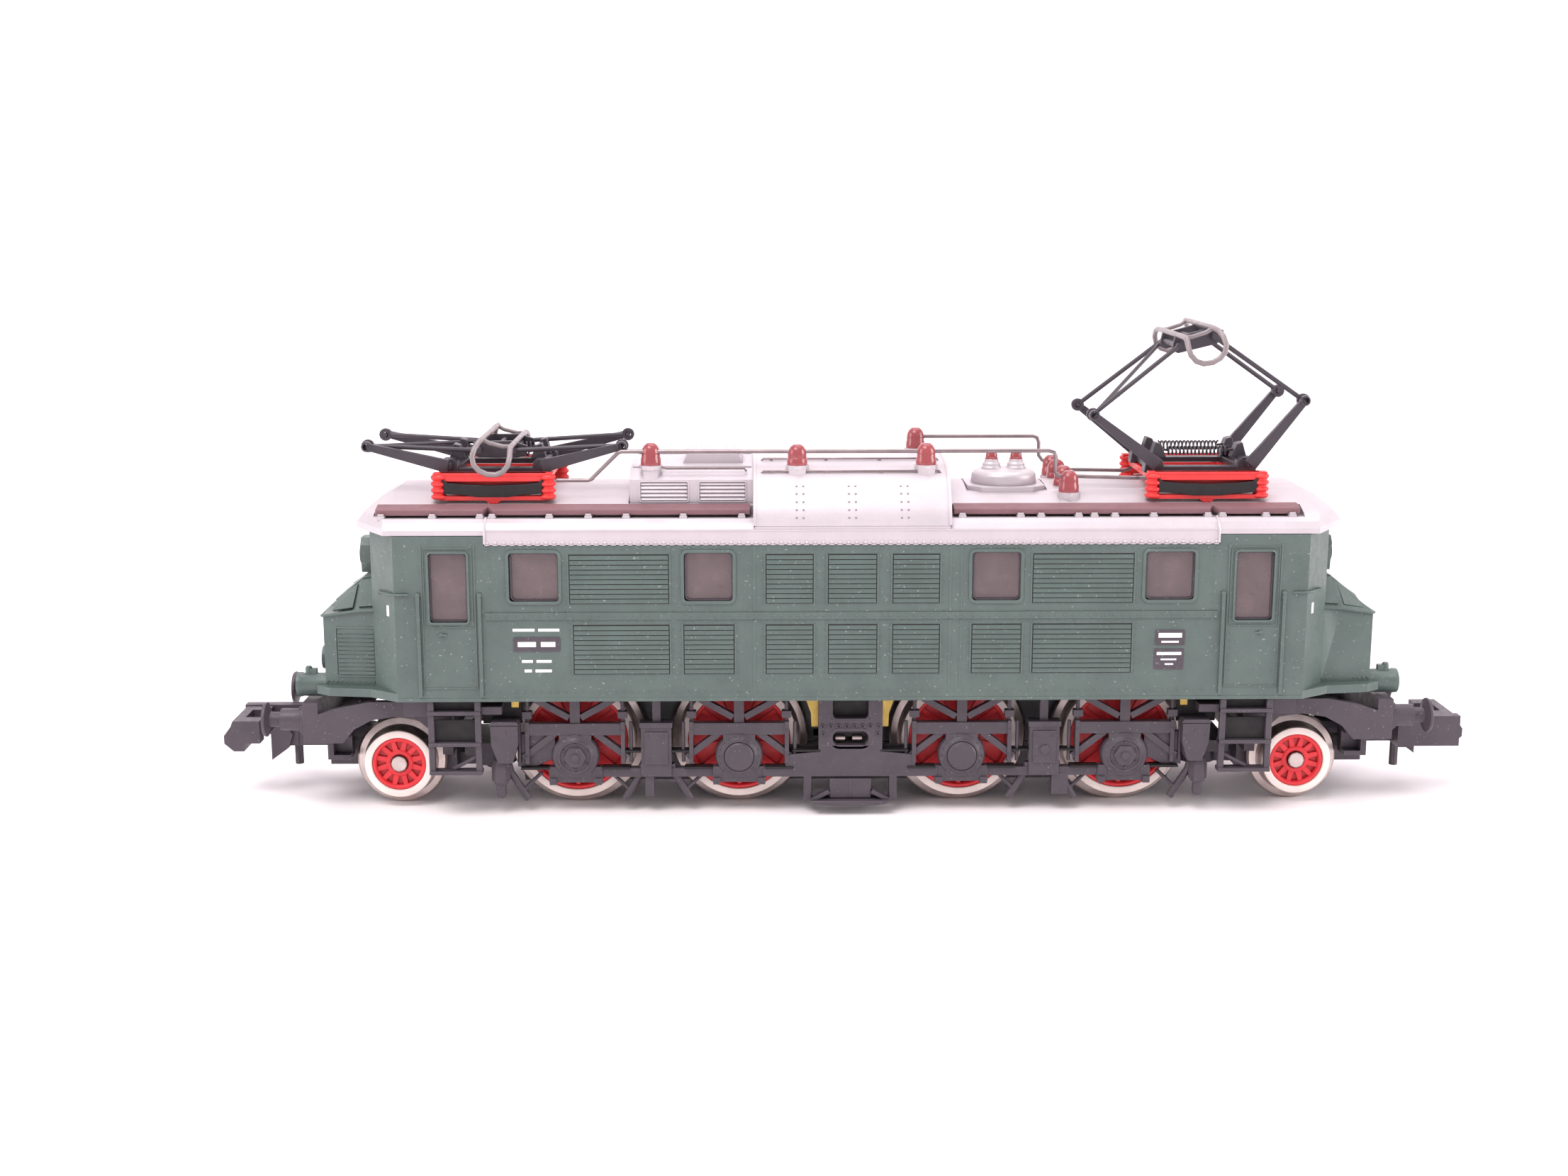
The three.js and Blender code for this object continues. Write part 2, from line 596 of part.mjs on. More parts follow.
function hump(inset) {
  const side = [[BODY_Y - inset, 20], [BODY_Y - inset, 24.9 - inset], [8.7 - inset, 26.3 - inset],
    [7.4 - inset, 27.9 - inset], [5.7 - inset, 28.9 - inset], [3.0 - inset, HUMP_Z - inset]];
  return prism("x", [...side, ...mirrorPairs(side)], [-HUMP_X + inset, HUMP_X - inset]);
}

const WALK_Y = [6.5, 7.8];
const WALK_Z = [25.62, 26.4];
const WALK_FALL = 0.3; // how far the top of a board falls towards its outer edge
const WALKS = { left: [-39.2, -8.4], right: [8.4, 37.1] };
const VENT_X = [-18.4, -8.15];
const VENT_Z = [25.9, 29.3];
const VENT_PAD_Z = 29.1;
const DOME = { x: 13.3, y: -1.0, r: 2.72, z: 27.05 };

// Pads on the roof that carry the roof-line insulators: [x, y, top]
const PADS = [
  [-4.48, -5.5, 29.15], [6.25, -5.5, 29.15], [6.25, 5.5, 29.15],
  [18.3, -5.0, 26.75], [18.3, 5.0, 26.75],
];

function roof() {
  const outer = common(
    prism("x", roofSection(0, BODY_Y), [-ROOF_TIP_X - 1, ROOF_TIP_X + 1]),
    prism("z", roofPlan(0), [20, 32]),
    prism("y", roofSide(), [-12, 12]),
  );
  const lowerHalf = box([-60, 60], [-12, 12], [EAVE_Z + GAP / 2, 40]);
  const inner = join(
    common(
      prism("x", roofSection(1.0, BODY_Y - 1.0), [-36.5, 36.5]),
      prism("z", roofPlan(2.6), [20, 32]),
    ),
    hump(1.0),
  );
  const pads = PADS.map(([x, y, top]) => disc("z", 0.95, [top - 1.3, top], [x, y, 0], 8));
  const walkCuts = Object.values(WALKS).map(([a, b]) =>
    boxPair([a - 0.3, b + 0.3], [WALK_Y[0] - 0.15, 8.4], [WALK_Z[0] - 0.2, 30]),
  );
  const ventSeat = box([VENT_X[0] - GAP, VENT_X[1] + GAP], [-6.05, 6.05], [VENT_Z[0] - GAP, 40]);
  const domeSeat = box([9.9, 16.7], [DOME.y - 3.5, DOME.y + 3.5], [DOME.z - GAP, 40]);
  const cab = cut(outer, ...cornerSlopes());
  return cut(join(cab, common(hump(0), lowerHalf), ...pads), inner, ...walkCuts, ventSeat, domeSeat);
}
node(locomotive, "roof", roof(), "silver");

// ---------------------------------------------------------------- roof fittings
// Wooden walkway boards; each is notched to a point where two boards meet
function walkway([a, b], side) {
  const section = [[WALK_Y[0], WALK_Z[0]], [WALK_Y[1], WALK_Z[0]], [WALK_Y[1], WALK_Z[1] - WALK_FALL],
    [WALK_Y[0], WALK_Z[1]]];
  const board = prism("x", side > 0 ? section : mirrorPairs(section), [a, b]);
  const joint = Math.sign(a) * 30.0;
  const edge = side * WALK_Y[1];
  const mouth = edge + side * 0.1;
  const notch = [[joint - 0.5, mouth], [joint + 0.5, mouth], [joint, edge - side * 0.8]];
  return cut(board, prism("z", side > 0 ? notch.reverse() : notch, [20, 30]));
}
for (const [end, span] of Object.entries(WALKS)) {
  node(locomotive, `walkway_${end}_near`, walkway(span, -1), "brown");
  node(locomotive, `walkway_${end}_far`, walkway(span, 1), "brown");
}

function ventBox() {
  const half = [[6.0, VENT_Z[0]], [6.0, 28.3], [4.6, 29.1], [0, VENT_Z[1]]];
  const section = [...half, ...mirrorPairs(half.slice(0, 3))];
  const housing = prism("x", section, VENT_X);
  const hatch = prism("y", [[-14.2, 29.0], [-8.9, 29.0], [-9.4, 30.0], [-13.7, 30.0]], [-2.4, 2.4]);
  const hollow = box([VENT_X[0] + 0.8, VENT_X[1] - 0.8], [-4.9, 4.9], [20, 28.0]);
  const louvres = [[-17.5, -13.6], [-12.6, -8.8]].map((x) => boxPair(x, [5.75, 7], [26.5, 28.1]));
  const pad = disc("z", 0.8, [27.6, VENT_PAD_Z], [-16.65, -5.2, 0], 8);
  return cut(join(housing, hatch, pad), hollow, ...louvres);
}
node(locomotive, "vent_box", ventBox(), "silver");

function transformerDome() {
  const bell = [[0, 0], [3.1, 0], [3.1, 0.5], [DOME.r, 0.5], [DOME.r, 1.1], [DOME.r - 0.5, 1.6], [0, 1.6]];
  const base = turned("z", bell, 16, [DOME.x, DOME.y, DOME.z]);
  const bushing = [[0, 1.4], [0.75, 1.4], [0.75, 2.3], [0.5, 2.3], [0.4, 3.1], [0, 3.1]];
  const bushings = [12.25, 14.35].map((x) => turned("z", bushing, 10, [x, DOME.y, DOME.z]));
  return join(base, ...bushings);
}
node(locomotive, "transformer_dome", transformerDome(), "silver");

// Roof lines: round bars on insulators
const BAR_R = 0.18;
const insulator = (x, y, base, top) =>
  turned("z", [[0, base], [0.78, base], [0.78, top - 0.6], [0.5, top - 0.15], [0, top]], 8, [x, y, 0]);

function roofLineNear() {
  const y = -5.5;
  const bar = bentBar([[-24.5, y, 28.2], [-21.6, y, 28.2], [-19.2, y, 30.6], [16.6, y, 30.6],
    [17.05, y, 30.2], [17.1, y + 0.2, 28.7], [17.9, y + 0.5, 28.2]], BAR_R);
  return join(bar, insulator(-16.65, y + 0.3, VENT_PAD_Z + 0.02, 31.0), insulator(-4.48, y, 29.17, 31.2),
    insulator(6.25, y, 29.17, 31.3), insulator(18.3, -5.0, 26.77, 28.9));
}
function roofLineFar() {
  const y = 5.5;
  const bar = bentBar([[6.25, y, 30.4], [16.8, y, 30.3], [17.2, y, 29.9], [17.25, y - 0.2, 28.7],
    [17.9, 5.0, 28.2]], BAR_R);
  return join(bar, insulator(6.25, y, 29.17, 31.3), insulator(18.3, 5.0, 26.77, 28.9));
}
node(locomotive, "roof_line_near", roofLineNear(), "insulator");
node(locomotive, "roof_line_far", roofLineFar(), "insulator");

// ---------------------------------------------------------------- pantographs
// Angles at rest in degrees: lower arms above the horizontal, upper arms above the
// horizontal towards the head, and the tilt of the head's pivots and of its strips
const REST = {
  left: { lowerA: 14, lowerB: 14, upperA: -3, upperB: -3, head: 0, strips: -14 },
  right: { lowerA: 37.5, lowerB: 51.3, upperA: 38.427, upperB: 34.846, head: 14, strips: 18 },
};
const rad = THREE.MathUtils.degToRad;

// A ring about the Y axis
const eye = (x, z, bore, r, y, sides = 8) =>
  turned("y", [[bore, y[0]], [r, y[0]], [r, y[1]], [bore, y[1]], [bore, y[0]]], sides, [x, 0, z]);

// Red frame on four corner insulators, with the black pivot blocks on top
function pantographBase() {
  const rails = boxPair([-BASE_HALF_X, BASE_HALF_X], [5.4, 6.2], [28.1, BASE_Z[1]]);
  const sills = boxPair([-BASE_HALF_X, BASE_HALF_X], [5.4, 6.2], [26.62, 27.2]);
  const corner = (x, y) => disc("z", 0.66, [26.62, BASE_Z[1] - 0.1], [x, y, 0], 8);
  const cornerX = BASE_HALF_X - 0.45;
  const corners = [-cornerX, cornerX].flatMap((x) => [corner(x, -5.8), corner(x, 5.8)]);
  const ends = [-1, 1].map((s) => {
    const x = [s * (BASE_HALF_X - 1.6), s * (BASE_HALF_X - 0.5)].sort((a, b) => a - b);
    return box(x, [-5.6, 5.6], [27.9, 28.55]);
  });
  const blocks = [-1, 1].map((s) => {
    const x = [s * (ARM_PIVOT_X - 0.9), s * (ARM_PIVOT_X + 0.7)].sort((a, b) => a - b);
    return boxPair(x, [2.4, 3.7], [28.5, 29.75]);
  });
  const bores = [-1, 1].map((s) => disc("y", 0.3 + RUN, [-9, 9], [s * ARM_PIVOT_X, 0, ARM_PIVOT_Z], 8));
  return cut(join(rails, sills, ...corners, ...ends, ...blocks), ...bores);
}

// Lower arm: pivot shaft, two tapered plates and the knee pins. SIDE -1 leans to the left.
function lowerArm(side, angle) {
  const a = rad(angle);
  const foot = [side * ARM_PIVOT_X, ARM_PIVOT_Z];
  const knee = [foot[0] + side * LOWER_ARM * Math.cos(a), foot[1] + LOWER_ARM * Math.sin(a)];
  const plate = (y) => {
    const nx = -Math.sin(a) * side;
    const nz = Math.cos(a);
    const outline = [
      [foot[0] - 0.55 * nx, foot[1] - 0.55 * nz], [knee[0] - 0.3 * nx, knee[1] - 0.3 * nz],
      [knee[0] + 0.3 * nx, knee[1] + 0.3 * nz], [foot[0] + 0.55 * nx, foot[1] + 0.55 * nz],
    ];
    return prism("y", side > 0 ? outline : outline.reverse(), y);
  };
  const outerY = [KNEE_Y - 0.25, KNEE_Y + 0.25];
  const pins = [-1, 1].map((s) => {
    const y = [s * (KNEE_Y - 0.9), s * KNEE_Y].sort((p, q) => p - q);
    return disc("y", PIN_R, y, [knee[0], 0, knee[1]], 6);
  });
  const shaft = disc("y", 0.3, [-KNEE_Y, KNEE_Y], [foot[0], 0, foot[1]], 6);
  return { body: join(plate(outerY), plate([-outerY[1], -outerY[0]]), shaft, ...pins), knee };
}

// Upper arm: two rods from the knee eyes to the head shaft, with a cross brace on arm A
function upperArm(side, knee, angle, braced) {
  const a = rad(angle);
  const top = [knee[0] - side * UPPER_ARM * Math.cos(a), knee[1] + UPPER_ARM * Math.sin(a)];
  const eyeY = KNEE_Y - 0.55;
  const topY = 3.3;
  const eyes = [-eyeY, eyeY].map((y) => eye(knee[0], knee[1], PIN_R + RUN, 0.55, [y - 0.18, y + 0.18]));
  const start = 0.45; // the rods begin in the wall of the eye
  const from = [knee[0] - side * start * Math.cos(a), knee[1] + start * Math.sin(a)];
  const rods = [-1, 1].map((s) => rod([from[0], s * eyeY, from[1]], [top[0], s * topY, top[1]], 0.17, 5));
  const shaft = disc("y", PIN_R, [-topY - 0.15, topY + 0.15], [top[0], 0, top[1]], 6);
  const brace = braced ? [rod([from[0], -eyeY, from[1]], [top[0], topY, top[1]], 0.15, 5)] : [];
  return { body: join(...eyes, ...rods, shaft, ...brace), top };
}

// Head: two cheek plates on the arm shafts, two contact strips and a ring horn at each end
function pantographHead(pivotA, tilt, stripTilt) {
  const t = rad(tilt);
  const middle = [pivotA[0] + HEAD_PIVOT_X * Math.cos(t), pivotA[1] + HEAD_PIVOT_X * Math.sin(t)];
  const frame = (angle, x, z) => {
    const c = Math.cos(rad(angle));
    const s = Math.sin(rad(angle));
    return [middle[0] + x * c - z * s, middle[1] + x * s + z * c];
  };
  const plateOutline = (x0, x1, z0, z1, angle) =>
    [[x0, z0], [x1, z0], [x1, z1], [x0, z1]].map(([x, z]) => frame(angle, x, z));
  const cheeks = [-1, 1].map((s) =>
    prism("y", plateOutline(-2.1, 2.5, -0.72, 0.75, tilt), [s * 2.5 - 0.2, s * 2.5 + 0.2]));
  const slotOutline = plateOutline(HEAD_PIVOT_X - 0.7, HEAD_PIVOT_X + 0.72, -0.5, 0.5, tilt);
  const slot = prism("y", slotOutline, [-9, 9]);
  const bore = disc("y", PIN_R + RUN, [-9, 9], [pivotA[0], 0, pivotA[1]], 8);
  const STRIP_Z = 0.85;
  const RING_R = 1.5;
  const strips = [-1.25, 1.25].map((x) => {
    const outline = plateOutline(x - 0.3, x + 0.3, STRIP_Z - 0.2, STRIP_Z + 0.15, stripTilt);
    return prism("y", outline, [-HEAD_HALF_Y, HEAD_HALF_Y]);
  });
  const ties = [-2.5, 2.5].map((y) =>
    prism("y", plateOutline(-1.4, 1.4, 0.6, STRIP_Z, stripTilt), [y - 0.2, y + 0.2]));
  const rings = [-1, 1].map((s) => {
    const [x, z] = frame(stripTilt, 0, STRIP_Z - RING_R * 0.55);
    return eye(x, z, RING_R - 0.3, RING_R, [s * HEAD_HALF_Y - 0.17, s * HEAD_HALF_Y + 0.17], 12);
  });
  return join(cut(join(...cheeks), slot, bore), ...strips, ...ties, ...rings);
}

function pantograph(end, x) {
  const rest = REST[end];
  const g = group(locomotive, x);
  const name = (piece) => `pantograph_${end}_${piece}`;
  const lowerA = lowerArm(-1, rest.lowerA);
  const lowerB = lowerArm(1, rest.lowerB);
  const upperA = upperArm(-1, lowerA.knee, rest.upperA, true);
  const upperB = upperArm(1, lowerB.knee, rest.upperB, false);
  node(g, name("base"), pantographBase(), "red");
  node(g, name("lower_arm_a"), lowerA.body, "darkMetal");
  node(g, name("lower_arm_b"), lowerB.body, "darkMetal");
  node(g, name("upper_arm_a"), upperA.body, "darkMetal");
  node(g, name("upper_arm_b"), upperB.body, "darkMetal");
  node(g, name("head"), pantographHead(upperA.top, rest.head, rest.strips), "steel");
}
pantograph("left", -PANTO_X);
pantograph("right", PANTO_X);

// ---------------------------------------------------------------- pony trucks and couplers
function truckFrame() {
  const pivotR = 0.8 + RUN;
  const pivotRing = [[pivotR, 2.5], [2.0, 2.5], [2.0, 3.6], [pivotR, 3.6], [pivotR, 2.5]];
  const pivotEye = turned("z", pivotRing, 12, [TRUCK_PIVOT_X, 0, 0]);
  const tongue = box([-34.2, TRUCK_PIVOT_X - 1.2], [-1.3, 1.3], [2.5, 3.6]);
  const cross = box([-35.0, -33.9], [-3.2, 3.2], [2.5, 5.2]);
  const rails = boxPair([-44.8, -33.9], [1.9, 3.2], [3.1, 5.2]);
  const axleSlots = box([-CARRIER_X - AXLE_R - RUN, -CARRIER_X + AXLE_R + RUN], [-9, 9],
    [-1, CARRIER_Z + AXLE_R + RUN]);
  const headstock = box([HEADSTOCK_X, -44.9], [-6.9, 6.9], [6.0, 9.5]);
  const posts = cut(
    boxPair([-44.5, -42.6], [3.6, 5.6], [4.2, 6.3]),
    boxPair([-44.0, -42.5], [4.6, 5.7], [4.6, 6.1]),
  );
  const arch = [[-45.4, 8.4], [-45.4, 6.0], [-42.9, 6.0], [-41.9, 7.2], [-40.4, 8.0], [-38.4, 8.3],
    [-36.5, 8.0], [-34.9, 6.6], [-34.3, 5.4], [-33.6, 5.4], [-33.6, 9.6], [-40.6, 9.6], [-42.6, 9.2]];
  const arches = [-1, 1].map((s) => {
    const y = [s * 6.2, s * 6.9].sort((a, b) => a - b);
    return prism("y", [...arch].reverse(), y);
  });
  const yoke = box([-34.5, -33.6], [-6.9, 6.9], [5.0, 6.4]);
  const neck = box([-34.5, -33.9], [-3.2, 3.2], [4.8, 5.4]);
  const roof = box([-44.9, -43.6], [-4.4, 4.4], [6.05, 6.9]);
  const hangers = boxPair([-44.8, -43.8], [1.9, 3.2], [3.1, 6.9]);
  const couplerPin = disc("z", COUPLER_PIN_R, [3.2, 6.3], [COUPLER_PIVOT_X, 0, 0], 8);
  const frame = join(pivotEye, tongue, cross, rails, headstock, posts, ...arches, yoke, neck, roof, hangers);
  return join(cut(frame, axleSlots), couplerPin);
}

function buffer() {
  const length = HEADSTOCK_X - BUFFER_FACE_X - GAP;
  const profile = [[0, 0.0], [1.48, 0.12], [1.48, 0.4], [0.65, 0.65], [0.65, 1.5], [0.95, 1.5],
    [0.95, length], [0, length]];
  return turned("x", profile, 12, [BUFFER_FACE_X, 0, BUFFER_Z]);
}

// Hook coupler: the pointed hook, the arm beside it and the latching tooth
function coupler() {
  const face = COUPLER_TIP_X + 1.1;
  const hook = [[face - 0.3, 6.9], [face - 0.5, 6.4], [COUPLER_TIP_X, 5.6], [COUPLER_TIP_X, 4.9],
    [face - 0.3, 4.2], [face + 0.6, 4.2], [face + 0.6, 4.9], [face + 2.0, 4.9], [face + 2.0, 6.9]];
  const crossBar = prism("y", hook, [-3.0, 2.2]);
  const arm = box([COUPLER_ARM_X, -48.0], [2.2, 3.2], [4.3, 7.0]);
  const bridge = box([-49.2, -48.0], [-1.2, 3.2], [4.2, 5.9]);
  const toothSide = [[-50.3, 3.0], [-48.8, 4.1], [-48.4, 5.3], [-49.3, 6.4], [-50.3, 5.6]];
  const tooth = prism("y", toothSide, [-1.6, 0.9]);
  const shank = box([-48.6, COUPLER_PIVOT_X + 0.6], [-1.1, 1.1], [4.2, 5.9]);
  const pin = disc("z", 0.38, [2.0, 4.4], [-48.5, 0.9, 0], 8);
  const pocket = box([face + 0.5, face + 2.5], [-1.6, 0.9], [4.6, 9.0]);
  const bore = disc("z", COUPLER_PIN_R + RUN, [0, 9], [COUPLER_PIVOT_X, 0, 0], 8);
  return cut(join(crossBar, arm, bridge, tooth, shank, pin), pocket, bore);
}

function ponyTruck(end, turn) {
  const g = group(locomotive, 0, turn);
  node(g, `pony_truck_${end}`, truckFrame(), "black");
  wheelset(g, `carrier_${end}`, -CARRIER_X, CARRIER_Z, CARRIER_TREAD_R, false);
  const sides = turn ? { far: -BUFFER_Y, near: BUFFER_Y } : { near: -BUFFER_Y, far: BUFFER_Y };
  for (const [side, y] of Object.entries(sides)) {
    node(g, `buffer_${end}_${side}`, buffer(), "black").position.y = y;
  }
  node(g, `coupler_${end}`, coupler(), "black");
}
ponyTruck("left", 0);
ponyTruck("right", Math.PI);

export default locomotive;
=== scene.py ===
"""Looks of an N gauge model electric locomotive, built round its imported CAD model.

Lengths are millimetres, and MM turns them into metres. Only the floor, the lights and the camera
are placed in metres. X runs along the locomotive, the camera looks at the side at negative Y, and
Z is up. Near pieces are drawn at negative Y and left ones at negative X, and their twins on the
far side or at the right end are the same pieces turned half a turn about the middle.
"""
import json
import math

import bmesh
import bpy
from mathutils import Matrix, Vector


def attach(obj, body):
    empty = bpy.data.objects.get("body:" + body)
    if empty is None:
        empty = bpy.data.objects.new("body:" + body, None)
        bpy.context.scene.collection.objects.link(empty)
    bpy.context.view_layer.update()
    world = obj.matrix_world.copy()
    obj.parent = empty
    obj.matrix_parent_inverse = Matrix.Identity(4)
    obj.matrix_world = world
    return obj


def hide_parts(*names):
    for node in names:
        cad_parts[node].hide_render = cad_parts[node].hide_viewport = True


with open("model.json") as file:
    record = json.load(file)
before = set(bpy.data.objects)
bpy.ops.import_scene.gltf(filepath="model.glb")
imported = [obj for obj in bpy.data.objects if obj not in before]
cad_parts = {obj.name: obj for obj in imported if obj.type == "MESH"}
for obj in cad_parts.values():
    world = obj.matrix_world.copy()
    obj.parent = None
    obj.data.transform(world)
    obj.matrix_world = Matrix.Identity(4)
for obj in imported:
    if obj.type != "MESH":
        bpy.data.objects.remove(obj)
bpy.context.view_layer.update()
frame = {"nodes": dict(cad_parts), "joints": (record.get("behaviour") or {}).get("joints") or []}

MM = 0.001
NODES = frame["nodes"]
JOINTS = {joint["name"]: Vector(joint["pos_m"]) / MM for joint in frame["joints"]}
ROOT = "locomotive"
ENDS = ("left", "right")
SIDES = ("near", "far")


# ---- materials
def srgb(red, green, blue):
    """A linear colour from 0 to 255 screen values."""
    def linear(value):
        c = value / 255
        return c / 12.92 if c <= 0.04045 else ((c + 0.055) / 1.055) ** 2.4
    return (linear(red), linear(green), linear(blue), 1.0)


def shade(colour, factor):
    return tuple(min(1.0, c * factor) for c in colour[:3]) + (1.0,)


class Surface:
    """A node material that is put together step by step."""

    def __init__(self, name, **values):
        self.material = bpy.data.materials.new(name)
        self.material.use_nodes = True
        self.nodes = self.material.node_tree.nodes
        self.links = self.material.node_tree.links
        self.shader = self.nodes["Principled BSDF"]
        self.place = self.nodes.new("ShaderNodeTexCoord").outputs["Object"]
        self.height = None
        for key, value in values.items():
            self.shader.inputs[key.replace("_", " ")].default_value = value

    def node(self, kind, output, inputs, **settings):
        """Adds a node, sets or links its inputs, and returns one of its outputs."""
        node = self.nodes.new(f"ShaderNode{kind}")
        for key, value in settings.items():
            setattr(node, key, value)
        for key, value in inputs.items():
            if isinstance(value, bpy.types.NodeSocket):
                self.links.new(value, node.inputs[key])
            else:
                node.inputs[key].default_value = value
        return node.outputs[output]

    def noise(self, size, detail=3.0):
        """Cloudy noise with features SIZE mm across, from 0 to 1."""
        return self.node("TexNoise", "Fac", {"Scale": 1 / (size * MM), "Detail": detail,
                                             "Roughness": 0.55, "Vector": self.place})

    def cells(self, size):
        """A random value in each cell of SIZE mm."""
        colour = self.node("TexVoronoi", "Color", {"Scale": 1 / (size * MM), "Vector": self.place})
        return self.node("SeparateColor", "Red", {"Color": colour})

    def ramp(self, value, low, high, to_low=0.0, to_high=1.0):
        return self.node("MapRange", "Result", {"Value": value, "From Min": low, "From Max": high,
                                                "To Min": to_low, "To Max": to_high})

    def mix(self, factor, a, b):
        """Blends two colours. The mix node's colours are its inputs 6 and 7 and its output 2."""
        return self.node("Mix", 2, {0: factor, 6: a, 7: b}, data_type="RGBA")

    def mottle(self, size, a, b):
        """Clouds SIZE mm across of two colours."""
        return self.mix(self.ramp(self.noise(size), 0.3, 0.7), a, b)

    def edges(self, radius):
        """Close to 1 on sharp outer and inner edges, within RADIUS mm of them."""
        soft = self.node("Bevel", "Normal", {"Radius": radius * MM}, samples=4)
        flat = self.node("NewGeometry", "Normal", {})
        return self.ramp(self.node("VectorMath", "Value", {0: soft, 1: flat}, operation="DOT_PRODUCT"),
                         0.995, 0.8)

    def crease_shade_mask(self, distance):
        """Close to 1 in corners and gaps narrower than DISTANCE mm, where shade falls; it masks painted
        shade.
        """
        opening = self.node("AmbientOcclusion", "AO", {"Distance": distance * MM}, samples=4)
        return self.ramp(opening, 0.75, 0.25)

    def bump(self, value, depth, strength):
        """Adds bumps DEPTH mm high to those that are there."""
        below = {"Normal": self.height} if self.height else {}
        self.height = self.node("Bump", "Normal", {"Height": value, "Distance": depth * MM,
                                                   "Strength": strength, **below})

    def finish(self, colour, roughness):
        for key, value in (("Base Color", colour), ("Roughness", roughness), ("Normal", self.height)):
            self.links.new(value, self.shader.inputs[key])
        return self.material


def moulded(name, colour, rough, edge=1.5, crease_shade=0.6, specks=0.0, metallic=0.0):
    """Moulded or painted plastic: mottled, lighter on its edges from wear and painted highlight, and darker
    in its gaps from painted shade.
    """
    s = Surface(name, Metallic=metallic)
    tint = s.mottle(2.6, shade(colour, 0.9), shade(colour, 1.1))
    fine = s.noise(0.12, detail=4.0)
    tint = s.mix(s.ramp(fine, 0.62, 0.8, 0.0, 0.35), tint, shade(colour, 1.25))
    if specks:
        dust = tuple(0.5 * c + 0.5 * specks for c in colour[:3]) + (1.0,)
        tint = s.mix(s.ramp(s.noise(0.22, detail=1.0), 0.71, 0.76, 0.0, 0.7), tint, dust)
    # Lighter on sharp edges: partly wear, partly painted highlight.
    if edge != 1.0:
        wear_and_highlight = s.mix(s.ramp(s.noise(0.5), 0.35, 0.6, 0.35, 1.0), colour, shade(colour, edge))
        tint = s.mix(s.edges(0.09), tint, wear_and_highlight)
    # Painted shade: darker in corners and gaps.
    if crease_shade:
        tint = s.mix(s.ramp(s.crease_shade_mask(0.5), 0.0, 1.0, 0.0, crease_shade), tint, shade(colour, 0.3))
    s.bump(fine, 0.006, 0.5)
    s.bump(s.noise(0.9), 0.01, 0.25)
    return s.finish(tint, s.ramp(s.noise(0.7), 0.3, 0.7, rough - 0.08, rough + 0.1))


def flaked(name, colour, rough):
    """Silver paint: fine metal flakes in a pale lacquer."""
    s = Surface(name, Metallic=0.35)
    flakes = s.cells(0.05)
    tint = s.mottle(3.0, shade(colour, 0.95), shade(colour, 1.04))
    tint = s.mix(s.ramp(flakes, 0.86, 1.0, 0.0, 0.5), tint, shade(colour, 1.2))
    # Painted shade: darker in corners and gaps.
    tint = s.mix(s.ramp(s.crease_shade_mask(0.7), 0.0, 1.0, 0.0, 0.55), tint, shade(colour, 0.42))
    s.bump(flakes, 0.002, 0.4)
    s.bump(s.noise(0.8), 0.01, 0.2)
    return s.finish(tint, s.ramp(flakes, 0.0, 1.0, rough - 0.08, rough + 0.14))


def metal(name, colour, rough):
    s = Surface(name, Metallic=1.0)
    wear = s.noise(0.25)
    tint = s.mix(s.ramp(s.noise(1.2), 0.35, 0.7), shade(colour, 0.82), shade(colour, 1.05))
    s.bump(wear, 0.0015, 0.25)
    return s.finish(tint, s.ramp(wear, 0.3, 0.7, rough - 0.05, rough + 0.08))


def clear(name, colour, rough):
    """Smoky clear plastic, slightly wavy."""
    s = Surface(name, Transmission_Weight=0.55, IOR=1.49, Specular_IOR_Level=0.5)
    haze = s.noise(1.4)
    tint = s.mix(s.ramp(haze, 0.3, 0.7), shade(colour, 0.85), shade(colour, 1.15))
    s.bump(haze, 0.03, 0.2)
    return s.finish(tint, s.ramp(haze, 0.3, 0.7, rough, rough + 0.12))


MATERIALS = {name: make(name, srgb(*colour), rough, **more) for name, make, colour, rough, more in (
    ("shell_green", moulded, (82, 96, 92), 0.4, {"specks": 0.55}),
    ("roof_silver", flaked, (196, 187, 192), 0.42, {}),
    ("window_clear", clear, (136, 116, 119), 0.08, {}),
    ("walkway_brown", moulded, (126, 90, 96), 0.6, {"edge": 1.25}),
    ("insulator_brown", moulded, (150, 72, 76), 0.14, {"edge": 1.3}),
    ("pantograph_red", moulded, (224, 50, 50), 0.4, {"edge": 1.2}),
    ("pantograph_dark", moulded, (58, 52, 60), 0.42, {"edge": 1.7}),
    ("pantograph_head_grey", moulded, (136, 126, 128), 0.38, {"edge": 1.25, "metallic": 0.2}),
    ("shadow_black", moulded, (22, 18, 22), 0.6, {"edge": 1.3}),
    ("underframe_black", moulded, (70, 62, 70), 0.46, {"edge": 1.8, "crease_shade": 0.8, "specks": 0.35}),
    ("wheel_red", moulded, (220, 46, 54), 0.4, {"edge": 1.2}),
    ("tyre_white", moulded, (244, 228, 222), 0.5, {"edge": 1.0, "crease_shade": 0.0}),
    ("nickel", metal, (206, 192, 188), 0.36, {}),
    ("axle_steel", metal, (150, 144, 142), 0.35, {}),
    ("zinc_casting", moulded, (86, 86, 88), 0.5, {"metallic": 0.6}),
    ("motor_steel", metal, (140, 138, 138), 0.4, {}),
    ("motor_copper", metal, (190, 110, 80), 0.35, {}),
    ("gear_plastic", moulded, (222, 216, 200), 0.5, {}),
    ("brass", metal, (172, 148, 84), 0.34, {}),
    ("spring_steel", metal, (152, 138, 140), 0.34, {}),
    ("marking_white", moulded, (238, 236, 238), 0.55, {"edge": 1.0, "crease_shade": 0.0}),
)}


